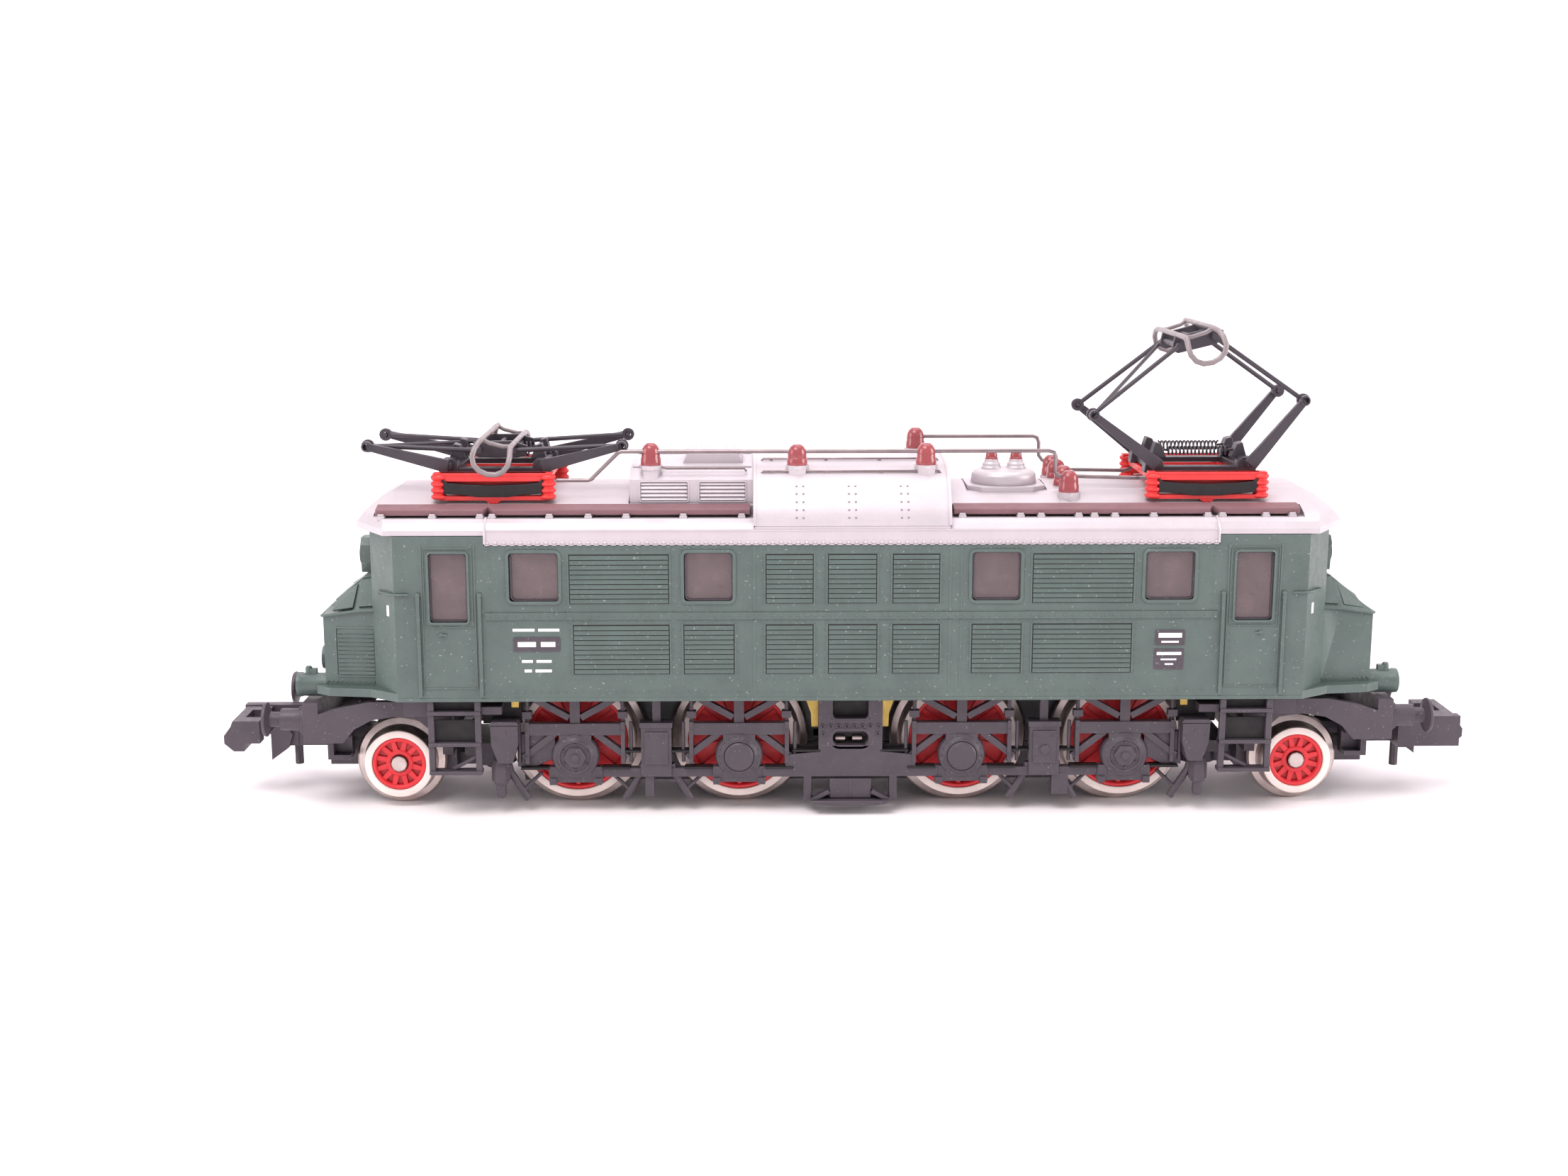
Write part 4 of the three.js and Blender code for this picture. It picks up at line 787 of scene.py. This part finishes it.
def roof_bars(bm):
    """The round bars between the insulators, with smoothly bent corners."""
    for run in (
            [(-24.5, -5.5, 28.2), (-21.9, -5.5, 28.2), (-21.6, -5.5, 28.3), (-19.4, -5.5, 30.45),
             (-19.1, -5.5, 30.6), (16.5, -5.5, 30.6), (16.95, -5.5, 30.45), (17.08, -5.45, 30.1),
             (17.1, -5.3, 28.8), (17.3, -5.15, 28.45), (18.3, -5.0, 28.35)],
            [(6.25, 5.5, 30.5), (16.7, 5.45, 30.5), (17.05, 5.4, 30.35), (17.2, 5.38, 30.0),
             (17.22, 5.3, 28.8), (17.5, 5.1, 28.4), (18.3, 5.0, 28.35)],
            [(18.3, -5.0, 28.1), (18.3, 5.0, 28.1)],
            [(18.3, 2.0, 28.0), (24.2, 2.0, 27.9), (24.9, 2.4, 28.0)],
            [(18.3, -2.0, 28.0), (24.4, -2.6, 27.9), (24.7, -3.2, 28.0), (24.9, -5.0, 28.3)]):
        tube(bm, run, 0.17, 12)


piece("dome_bell", dome_bell, "roof_silver", bevel=0.06, stands_for=("transformer_dome",))
piece("dome_bushings", dome_bushings, "insulator_brown")
for group, places in INSULATORS.items():
    piece(f"insulators_{group}", insulators, "insulator_brown", args=(places,),
          stands_for=() if group == "inner" else (f"roof_line_{group}",))
piece("insulator_feet", insulator_feet, "roof_silver")
piece("roof_bars", roof_bars, "spring_steel")


# ---- pantographs
# Each one: the middle of its frame, the tilts of its head and its contact strips, and the angles
# of its upper arms A and B, in degrees.
PANTOGRAPHS = {"left": (-29.7, 0, -14, (-3, -3)), "right": (29.7, 14, 18, (38.427, 34.846))}
UPPER_ARM = 9.15
KNEE_Y = 3.95


def pantograph_frame(bm, cx):
    """The red frame on its four ribbed insulators."""
    ribs = [(0, 0)]
    for foot in (0.04, 0.58, 1.12, 1.66):
        ribs += [(0.5, foot), (0.66, foot + 0.12), (0.68, foot + 0.3), (0.5, foot + 0.44)]
    ribs.append((0, 2.14))
    for s in (-1, 1):
        beam(bm, (cx - 4.4, cx + 4.4), (s * 5.4, s * 6.15), (28.2, 28.9))
        beam(bm, (cx - 4.95, cx + 4.95), (s * 5.3, s * 6.2), (28.66, 28.9))
        beam(bm, (cx - 4.4, cx + 4.4), (s * 5.4, s * 6.15), (26.62, 27.0))
        beam(bm, (cx - 4.2, cx + 4.2), (s * 5.42, s * 5.5), (27.1, 28.15))
        plate(bm, "y", [(cx - 0.75, 26.65), (cx - 0.25, 26.3), (cx + 0.25, 26.3), (cx + 0.75, 26.65)],
              (s * 5.45, s * 6.1))
        for x in (cx - 4.5, cx + 4.5):
            lathe(bm, ribs, (x, s * 5.8, 26.64), "z", 28)
        beam(bm, (cx + s * 3.4, cx + s * 4.5), (-5.6, 5.6), (27.95, 28.5))


def pantograph_irons(bm, cx):
    """Bearing blocks, spring brackets and their cross bars."""
    for s in (-1, 1):
        beam(bm, (cx - 3.2, cx + 3.2), (s * 2.5, s * 3.6), (28.55, 29.0))
        beam(bm, (cx + s * 3.1, cx + s * 4.3), (-3.2, 3.2), (28.6, 29.1))
        for side in (-1, 1):
            x = cx + side * 3.9
            plate(bm, "y", [(x - 0.95, 28.5), (x + 0.75, 28.5), (x + 0.6, 29.5), (x + 0.3, 29.78),
                            (x - 0.5, 29.78), (x - 0.8, 29.5)], (s * 2.4, s * 3.7))
            plate(bm, "y", [(cx + side * 4.1, 29.6), (cx + side * 2.75, 29.6), (cx + side * 3.2, 30.75),
                            (cx + side * 3.7, 30.9)], (s * 1.3, s * 2.5))


def recess_bars(bm, cx):
    """The sagging black bars in the side recesses of the frame."""
    upper = [(4.15, 28.45), (3.75, 28.1), (2.5, 27.98), (0, 27.9)]
    lower = [(4.05, 27.2), (2.6, 27.1), (1.2, 26.92)]
    right = upper[::-1] + lower
    outline = right + [(-x, z) for x, z in right[:0:-1]]
    for s in (-1, 1):
        plate(bm, "y", [(cx + x, z) for x, z in outline], (s * 5.9, s * 6.32))


def pantograph_springs(bm, cx):
    for y in (-1.8, 1.8):
        coil(bm, (cx - 2.6, y, 30.15), (cx + 2.6, y, 30.15), 0.36, 0.085, 16)
        for side in (-1, 1):
            tube(bm, [(cx + side * 2.5, y, 30.15), (cx + side * 3.5, y, 30.3)], 0.1, 8)


def head_place(end, angle):
    """A function that puts points at the middle of a contact head, turned by an ANGLE in degrees."""
    tilt = math.radians(PANTOGRAPHS[end][1])
    middle = JOINTS[f"pantograph_{end}_head_tilt"] + 1.5 * Vector((math.cos(tilt), 0, math.sin(tilt)))
    c, s = math.cos(math.radians(angle)), math.sin(math.radians(angle))
    return lambda x, y, z: (middle.x + x * c - z * s, y, middle.z + x * s + z * c)


def contact_head(bm, end):
    """Two contact strips that run into a bent horn at both ends, with two rungs between them."""
    at = head_place(end, PANTOGRAPHS[end][2])
    half = [(1.25, 0.0, 0.88), (1.25, 4.5, 0.88), (1.25, 5.6, 0.84), (1.34, 6.3, 0.68), (1.48, 6.8, 0.2),
            (1.5, 7.05, -0.45), (1.22, 7.1, -1.05), (0.7, 7.12, -1.42), (0.0, 7.12, -1.55)]
    quarter = half + [(-x, y, z) for x, y, z in half[-2::-1]]
    loop = quarter + [(x, -y, z) for x, y, z in quarter[-2:0:-1]]
    tube(bm, [at(*point) for point in loop], 0.23, 14, closed=True)
    for y in (-4.9, 4.9):
        tube(bm, [at(-1.25, y, 0.86), at(-0.6, y, 0.68), at(0.6, y, 0.68), at(1.25, y, 0.86)], 0.18, 10)


def carriers(bm, end):
    """The two small carriers of a contact head and the rod between them."""
    at = head_place(end, PANTOGRAPHS[end][1])
    outline = [at(x, 0, z)[::2] for x, z in ((-2.1, -0.35), (-1.6, -0.7), (1.6, -0.72), (2.4, -0.5),
                                             (2.5, 0.3), (1.2, 0.72), (-1.6, 0.7))]
    for s in (-1, 1):
        plate(bm, "y", outline, (s * 2.3, s * 2.7))
    lathe(bm, [(0, -2.4), (0.26, -2.4), (0.26, 2.4), (0, 2.4)], at(0, 0, 0.2), "y", 12)


def rods(bm, end, arm):
    """The two round rods of an upper arm with their eyes; arm A also has a diagonal."""
    knee = JOINTS[f"pantograph_{end}_knee_{arm}"]
    inwards = {"a": 1, "b": -1}[arm]
    angle = math.radians(PANTOGRAPHS[end][3]["ab".index(arm)])
    reach = Vector((inwards * math.cos(angle), 0, math.sin(angle)))
    top = knee + UPPER_ARM * reach
    start = knee + 0.4 * reach
    for s in (-1, 1):
        tube(bm, [(start.x, s * KNEE_Y, start.z), (top.x, s * 3.3, top.z)], 0.2, 12)
        lathe(bm, [(0.24, s * 3.76), (0.5, s * 3.76), (0.55, s * 3.84), (0.55, s * 4.06), (0.5, s * 4.14),
                   (0.24, s * 4.14)], (knee.x, 0, knee.z), "y", 28, closed=True)
    if arm == "a":
        tube(bm, [(start.x, -KNEE_Y, start.z), (top.x, 3.3, top.z)], 0.17, 12)
    tube(bm, [(top.x, -3.5, top.z), (top.x, 3.5, top.z)], 0.24, 12)


def knee_bosses(bm, end, arm):
    """Round bosses over the pins at the knees."""
    knee = JOINTS[f"pantograph_{end}_knee_{arm}"]
    for s in (-1, 1):
        lathe(bm, [(0.24, 4.2 * s), (0.42, 4.2 * s), (0.46, 4.35 * s), (0.42, 4.84 * s), (0.3, 4.88 * s),
                   (0.24, 4.7 * s)], (knee.x, 0, knee.z), "y", 24, closed=True)


for end, (cx, *_) in PANTOGRAPHS.items():
    name = f"pantograph_{end}"
    piece(f"{name}_frame", pantograph_frame, "pantograph_red", args=(cx,), bevel=0.05,
          stands_for=(f"{name}_base",))
    piece(f"{name}_irons", pantograph_irons, "pantograph_dark", args=(cx,), bevel=0.05)
    piece(f"{name}_recess_bars", recess_bars, "shadow_black", args=(cx,), bevel=0.05)
    piece(f"{name}_springs", pantograph_springs, "pantograph_dark", args=(cx,))
    piece(f"{name}_contact_head", contact_head, "pantograph_head_grey", f"{name}_head", (end,),
          stands_for=(f"{name}_head",))
    piece(f"{name}_carriers", carriers, "pantograph_dark", f"{name}_head", (end,), bevel=0.06)
    for arm in "ab":
        piece(f"{name}_rods_{arm}", rods, "pantograph_dark", f"{name}_upper_arm_{arm}", (end, arm),
              stands_for=(f"{name}_upper_arm_{arm}",))
        piece(f"{name}_knee_bosses_{arm}", knee_bosses, "pantograph_dark", f"{name}_lower_arm_{arm}",
              (end, arm))


# ---- side frames
DRIVER_X = (-23.2, -9.4, 9.4, 23.2)
AXLE_Z = 5.05
FRONT = (-7.85, -7.0)


def axle_guides(bm):
    """The bars, braces and straps round each axle box, and the sand pipes."""
    for x in DRIVER_X:
        for half, y, z in ((4.1, FRONT, (6.87, 7.9)), (2.25, FRONT, (2.75, 4.1)),
                           (0.43, (-7.7, -7.0), (7.8, 10.3)), (4.3, (-7.6, -6.9), (9.75, 10.5))):
            beam(bm, (x - half, x + half), y, z)
        for s in (-1, 1):
            strut(bm, (x + s * 1.7, 7.0), (x + s * 4.4, 4.9), 0.55, (-7.75, -7.05))
            strut(bm, (x + s * 0.5, 8.35), (x + s * 3.3, 9.95), 0.55, (-7.7, -7.0))
            for inner, outer, y, z in ((3.85, 4.2, (-7.95, -7.05), (4.4, 8.05)),
                                       (1.6, 2.2, (-8.1, -7.0), (2.6, 3.15)),
                                       (3.6, 4.4, (-7.9, -7.2), (8.35, 8.95))):
                beam(bm, (x + s * inner, x + s * outer), y, z)
            pipes = [(0.17, 10, (4.0, -7.5, 7.8), (4.0, -7.5, 9.9)),
                     (0.16, 10, (4.7, -7.6, 4.5), (4.7, -7.6, 8.0))]
            if abs(x + s * 4.0) > 9.0:
                pipes += [(0.32, 12, (5.7, -7.4, 4.3), (5.55, -7.35, 3.6), (4.1, -7.1, 1.1)),
                          (0.17, 10, (2.9, -7.2, 3.5), (4.5, -7.2, 1.95))]
            for radius, sides, *route in pipes:
                tube(bm, [(x + s * out, y, z) for out, y, z in route], radius, sides)
            for across, y, z in ((1.9, -8.1, 2.9), (4.02, -7.95, 5.1), (4.02, -7.95, 7.3)):
                rivet(bm, (x + s * across, y, z), OUTWARD, 0.13, 0.1)


def axle_boxes(bm):
    for x in DRIVER_X:
        middle = (x, 0, AXLE_Z)
        lathe(bm, [(0, -6.9), (2.0, -6.9), (2.0, -7.7), (1.88, -7.95), (1.5, -8.1), (1.42, -8.22),
                   (1.3, -8.24), (1.24, -8.12), (0, -8.06)], middle, "y", 48)
        beam(bm, (x - 1.35, x + 1.35), (-7.9, -6.9), (3.2, 6.9))
        if abs(x) > 20:
            lathe(bm, [(0, -7.9), (1.0, -7.9), (0.94, -8.3), (0, -8.34)], middle, "y", 6)
            lathe(bm, [(0, -8.2), (0.36, -8.2), (0.34, -8.5), (0, -8.56)], middle, "y", 14)
            radius, y, size, studs = 1.12, -8.1, 0.14, circle(6, math.radians(30))
        else:
            lathe(bm, [(0, -8.0), (1.26, -8.0), (1.24, -8.24), (1.08, -8.38), (0, -8.44)], middle, "y", 40)
            radius, y, size, studs = 1.72, -7.99, 0.12, circle(18)
        for a in studs:
            rivet(bm, (x + radius * math.cos(a), y, AXLE_Z + radius * math.sin(a)), OUTWARD, size,
                  0.14 if abs(x) > 20 else 0.1)


def centre_plate(bm):
    """The middle of the frame: slotted plate, cross beam, legs and step."""
    y = (-7.9, -6.8)
    beam(bm, (-1.7, 1.7), (-7.85, -6.84), (7.1, 8.25))
    surround(bm, (-1.5, 1.5), (5.87, 7.15), 0.3, (-7.9, -7.0), 0.55)
    surround(bm, (-1.5, 1.5), (8.27, 11.0), 0.2, (-7.9, -7.0), 0.35)
    right = [(2.6, 5.95), (2.7, 5.4), (5.5, 5.1), (5.5, 3.95), (7.4, 3.95), (7.4, 3.2)]
    plate(bm, "y", right + [(-x, z) for x, z in right[::-1]], y)
    for x, z in [(x, 7.62) for x in row(-2.35, 2.35, 0.67)] + [(-2.3, 6.95), (2.3, 6.95)]:
        lathe(bm, [(0.1, -8.0), (0.2, -8.0), (0.2, -7.85), (0.1, -7.85)], (x, 0, z), "y", 12, closed=True)
    mirrored(bm, ((1.6, 2.7), (-7.87, -6.82), (5.3, 10.6)), ((3.3, 3.95), y, (1.2, 3.3)))
    for s in (-1, 1):
        strut(bm, (s * 3.3, 1.15), (s * 1.8, 2.0), 0.35, (-8.3, -7.5))
    curve = [(3.3 * math.sin(a), 1.2 - 0.4 * math.cos(a)) for a in (math.pi / 12 * k for k in range(-5, 6))]
    plate(bm, "y", [(-3.3, 1.2)] + curve + [(3.3, 1.2)], (-8.75, -8.55))
    beam(bm, (-3.35, 3.35), (-8.7, -7.0), (1.1, 1.3))


def frame_shade(bm):
    """Black plates that paint the shade behind the middle plate, the sand boxes and the steps."""
    beam(bm, (-1.75, 1.75), (-6.9, -6.7), (6.4, 10.4))
    mirrored(bm, ((2.75, 5.6), (-6.95, -6.7), (5.0, 5.75)), ((27.7, 31.0), (-6.95, -6.7), (7.7, 10.4)),
             ((31.2, 35.0), (-8.6, -8.5), (6.6, 8.5)), ((31.2, 35.0), (-8.35, -8.25), (8.7, 10.4)))


def frame_ledges(bm):
    """The thin ledges beside the axle boxes and under the blocks, black as painted shade."""
    for s in (-1, 1):
        for x in DRIVER_X:
            beam(bm, (x + s * 2.2, x + s * 4.6), (-8.05, -6.95), (3.93, 4.12))
    for x in ((2.5, 4.9), (13.6, 15.1), (17.6, 19.0)):
        mirrored(bm, (x, (-7.95, -6.85), (5.38, 5.56)))


def slot_contacts(bm):
    """Bright contact rollers in the lower slot of the middle plate."""
    for x in (-1.3, 0.15):
        lathe(bm, [(0, x), (0.24, x), (0.27, x + 0.08), (0.27, x + 0.8), (0.24, x + 0.9), (0, x + 0.9)],
              (0, -7.0, 6.35), "x", 20)


def step_plate(bm):
    """The worn plate behind the middle step."""
    beam(bm, (-1.75, 1.75), (-8.05, -7.85), (1.35, 3.05))
    beam(bm, (-0.1, 0.1), (-8.12, -8.0), (1.4, 3.0))


def spring_blocks(bm):
    """The blocks between the axles, and the legs and stubs under them."""
    mirrored(bm, ((15.1, 17.65), (-8.0, -6.8), (3.3, 7.9)), ((15.0, 17.75), (-8.1, -6.8), (7.55, 8.0)),
             ((15.4, 17.35), (-8.15, -7.9), (4.4, 7.2)), ((16.0, 16.7), (-7.6, -6.8), (7.9, 10.4)),
             ((11.4, 21.2), (-7.75, -6.9), (3.2, 3.95)))
    for x in (-17.05, -15.7, 15.7, 17.05):
        for z in (4.8, 6.8):
            rivet(bm, (x, -8.15, z), OUTWARD, 0.15, 0.1)
    beam(bm, (-17.35, -16.6), (-7.8, -6.9), (1.5, 3.4))
    beam(bm, (17.1, 18.5), (-7.8, -6.9), (1.55, 3.4))
    lathe(bm, [(0, -8.3), (0.42, -8.3), (0.42, -8.0), (0, -8.0)], (16.4, 0, 5.6), "y", 6)


def sand_boxes(bm):
    """The sand boxes beside the steps, with a nut and a pipe stub under each."""
    for s in (-1, 1):
        for outline, depth in (
                (((27.9, 7.96), (30.2, 7.96), (30.15, 6.3), (29.6, 4.7), (28.4, 4.7), (27.9, 6.3)),
                 (-8.75, -6.9)),
                (((27.8, 8.0), (30.3, 8.0), (30.1, 8.3), (28.0, 8.3)), (-8.8, -6.9)),
                (((24.9, 6.95), (28.1, 6.95), (28.1, 4.1), (26.4, 4.15), (25.3, 4.7), (24.9, 4.7)),
                 (-7.55, -6.95))):
            plate(bm, "y", [(s * x, z) for x, z in outline], depth)
        foot = (s * 29.5, -7.8, 0)
        lathe(bm, [(0, 2.9), (0.75, 2.9), (0.8, 3.1), (0.8, 4.2), (0.6, 4.8), (0, 4.8)], foot, "z", 6)
        lathe(bm, [(0, 1.5), (0.36, 1.5), (0.42, 1.8), (0.42, 2.6), (0.6, 2.75), (0.6, 3.0), (0, 3.0)],
              foot, "z", 20)
        for x, z, size, height in ((29.0, 7.3, 0.2, 0.12), (28.3, 6.9, 0.12, 0.1), (29.8, 6.9, 0.12, 0.1)):
            rivet(bm, (s * x, -8.75, z), OUTWARD, size, height)


def ladders(bm):
    for z, depth in ((9.15, -8.2), (6.45, -8.0), (4.0, -8.0)):
        mirrored(bm, ((30.9, 35.3), (-9.2, depth), (z - 0.16, z + 0.16)))
    mirrored(bm, ((30.9, 31.4), (-9.05, -8.5), (4.0, 10.15)), ((34.8, 35.3), (-9.05, -8.5), (4.0, 10.15)),
             ((35.3, 37.4), (-8.35, -8.25), (8.7, 10.4)), ((29.2, 31.2), (-8.6, -6.9), (8.9, 9.6)))
    for s in (-1, 1):
        strut(bm, (s * 31.4, 5.3), (s * 33.4, 4.2), 0.3, (-8.7, -8.5))


def contact_strips(bm):
    """Springy brass strips that pick up current behind the frame."""
    for s in (-1, 1):
        plate(bm, "y", [(s * 2.6, 10.3), (s * 4.1, 10.3), (s * 3.7, 9.4), (s * 3.35, 8.4), (s * 3.3, 7.2),
                        (s * 2.6, 7.2)], (-6.65, -6.5))
    mirrored(bm, ((27.9, 28.6), (-7.1, -6.95), (9.1, 10.3)))


for side, turned in zip(SIDES, (False, True)):
    piece(f"axle_guides_{side}", axle_guides, "underframe_black", bevel=0.05, turned=turned,
          stands_for=(f"side_frame_{side}",))
for slot, parts in (("underframe_black", (axle_boxes, centre_plate, step_plate, spring_blocks, sand_boxes,
                                          ladders)),
                    ("shadow_black", (frame_shade, frame_ledges)), ("nickel", (slot_contacts,)),
                    ("brass", (contact_strips,))):
    twins(SIDES, *[(draw, slot, {"bevel": 0.05}) for draw in parts])


# ---- buffers
BUFFER_Y, BUFFER_Z = 5.47, 7.74


def buffer(bm, y):
    lathe(bm, [(0, -49.9), (0.9, -49.86), (1.4, -49.74), (1.48, -49.6), (1.46, -49.48), (1.1, -49.36),
               (0.66, -49.2), (0.64, -48.3), (0.92, -48.3), (0.95, -48.2), (0.95, -46.8), (1.1, -46.75),
               (1.1, -46.5), (1.35, -46.45), (1.35, -46.23), (0, -46.23)], (0, y, BUFFER_Z), "x", 48)
    for dy in (-0.85, 0.85):
        for dz in (-0.85, 0.85):
            rivet(bm, (-46.45, y + dy, BUFFER_Z + dz), (-1, 0, 0), 0.14, 0.14)


for end, sides in zip(ENDS, (SIDES, SIDES[::-1])):
    for side, y in zip(sides, (-BUFFER_Y, BUFFER_Y)):
        piece(f"buffer_body_{end}_{side}", buffer, "underframe_black", f"pony_truck_{end}", (y,),
              turned=end == "right", stands_for=(f"buffer_{end}_{side}",))


# ---- wheels
def spoke(bm, middle, angle, out, inner, outer):
    """A tapered spoke between two radii that stands out from the web."""
    radial = Vector((math.cos(angle), 0, math.sin(angle)))
    across = Vector((-math.sin(angle), 0, math.cos(angle)))
    skin(bm, [[middle + radial * r + across * (s * half) + Vector((0, y * out, 0))
               for s, y in ((-1, 4.6), (1, 4.6), (1, front), (-1, front))]
              for r, half, front in ((inner, 0.24, 5.52), (outer, 0.2, 5.62))])


def wheel(name, side, tread_r, middle, spokes):
    """A spoked plastic centre in a nickel tyre with a painted front face."""
    out = -1 if side == "near" else 1
    bore = tread_r - 0.62
    flange = tread_r + 0.9
    hub, web = (1.2, 5.32) if tread_r < 4 else (1.7, 5.4)

    def turn(bm, profile, steps, closed=True):
        lathe(bm, [(r, y * out) for r, y in profile], middle, "y", steps, closed)

    def tyre(bm):
        turn(bm, [(bore, 3.72), (flange - 0.35, 3.7), (flange - 0.06, 3.85), (flange, 4.05),
                  (flange - 0.16, 4.28), (tread_r + 0.22, 4.42), (tread_r + 0.03, 4.62),
                  (tread_r, 5.78), (tread_r - 0.12, 5.88), (bore, 5.88)], 72)

    def painted_rim(bm):
        turn(bm, [(bore - 0.02, 5.3), (tread_r - 0.1, 5.3), (tread_r - 0.06, 5.86),
                  (tread_r - 0.16, 5.9), (bore + 0.04, 5.9), (bore - 0.02, 5.84)], 72)

    def centre(bm):
        turn(bm, [(bore - 0.42, 4.3), (bore, 4.3), (bore, 5.72), (bore - 0.1, 5.8),
                  (bore - 0.3, 5.8), (bore - 0.42, 5.66)], 72)
        turn(bm, [(0.72, 4.1), (hub, 4.1), (hub, 5.5), (hub - 0.12, 5.62), (0.82, 5.62), (0.72, 5.55)], 40)
        turn(bm, [(hub - 0.1, 4.5), (bore - 0.2, 4.5), (bore - 0.2, web), (hub - 0.1, web)], 56)
        for angle in circle(spokes, math.pi / spokes):
            spoke(bm, middle, angle, out, hub - 0.1, bore - 0.3)

    def axle_end(bm):
        turn(bm, [(0, 5.2), (0.67, 5.2), (0.67, 5.78), (0.6, 5.86), (0, 5.88)], 32, closed=False)

    piece(f"{name}_tyre_{side}", tyre, "nickel", name, smooth=30)
    piece(f"{name}_painted_rim_{side}", painted_rim, "tyre_white", name)
    piece(f"{name}_centre_{side}", centre, "wheel_red", name, bevel=0.04,
          stands_for=(f"{name}_wheel_{side}",))
    piece(f"{name}_axle_end_{side}", axle_end, "nickel", name)


for side in SIDES:
    for i, x in enumerate(DRIVER_X):
        wheel(f"driver_{i + 1}", side, 5.0, Vector((x, 0, 5.9)), 14)
    for end, x in zip(ENDS, (-38.44, 38.44)):
        wheel(f"carrier_{end}", side, 2.95, Vector((x, 0, 3.85)), 12)


# ---- floor, light and camera
def stage():
    """A pale floor that sweeps up behind the locomotive into a plain backdrop, in metres."""
    width, front, back, radius, top = 7.0, -3.5, 0.5, 0.35, 2.2
    profile = [(front, 0.0)] + [(back + radius * math.sin(a), radius * (1 - math.cos(a)))
                                for a in (math.pi / 2 * i / 16 for i in range(17))]
    profile.append((back + radius, top))
    bm = bmesh.new()
    sides = [[bm.verts.new((x, y, z)) for y, z in profile] for x in (-width / 2, width / 2)]
    for a, b, c, d in zip(sides[0], sides[1], sides[1][1:], sides[0][1:]):
        bm.faces.new((a, b, c, d))
    s = Surface("floor")
    tint = s.mottle(25.0, srgb(246, 240, 242), srgb(251, 245, 248))
    s.bump(s.noise(0.6), 0.02, 0.3)
    mesh_object("floor", bm, s.finish(tint, s.ramp(s.noise(1.0), 0.3, 0.7, 0.7, 0.85)))


def softbox(name, place, target, size, power, colour):
    light = bpy.data.lights.new(name, "AREA")
    light.shape = "RECTANGLE"
    light.size, light.size_y = size
    light.energy = power
    light.color = colour
    obj = add_object(name, light)
    obj.location = place
    obj.rotation_mode = "QUATERNION"
    obj.rotation_quaternion = (Vector(target) - Vector(place)).to_track_quat("-Z", "Y")


def lighting():
    world = bpy.data.worlds.new("room")
    world.use_nodes = True
    background = world.node_tree.nodes["Background"].inputs
    background["Color"].default_value = (1.0, 0.965, 0.985, 1)
    background["Strength"].default_value = 0.66
    bpy.context.scene.world = world
    softbox("key", (-0.35, -0.45, 0.95), (0, 0, 0.02), (0.7, 0.5), 8.3, (1.0, 0.97, 0.97))
    softbox("top", (0.1, 0.25, 1.1), (0, 0, 0.02), (1.0, 0.8), 6.5, (1.0, 0.97, 1.0))
    softbox("left", (-0.95, -0.2, 0.3), (-0.04, 0, 0.02), (0.5, 0.5), 3.4, (1.0, 1.0, 0.97))
    softbox("right", (0.95, -0.2, 0.3), (0.04, 0, 0.02), (0.5, 0.5), 6.5, (1.0, 1.0, 0.97))
    bpy.context.scene.view_settings.view_transform = "Standard"


def camera():
    """The fitted viewpoint: a little left of the middle, looking down 11.4 degrees."""
    data = bpy.data.cameras.new("camera")
    data.sensor_width = 36.0
    data.lens = 44.36
    data.clip_start = 0.01
    data.clip_end = 10.0
    obj = add_object("camera", data)
    obj.location = (-0.0080, -0.165, 0.0512)
    obj.rotation_euler = (math.pi / 2 - 0.1991, 0, -0.0152)
    bpy.context.scene.camera = obj


stage()
lighting()
camera()
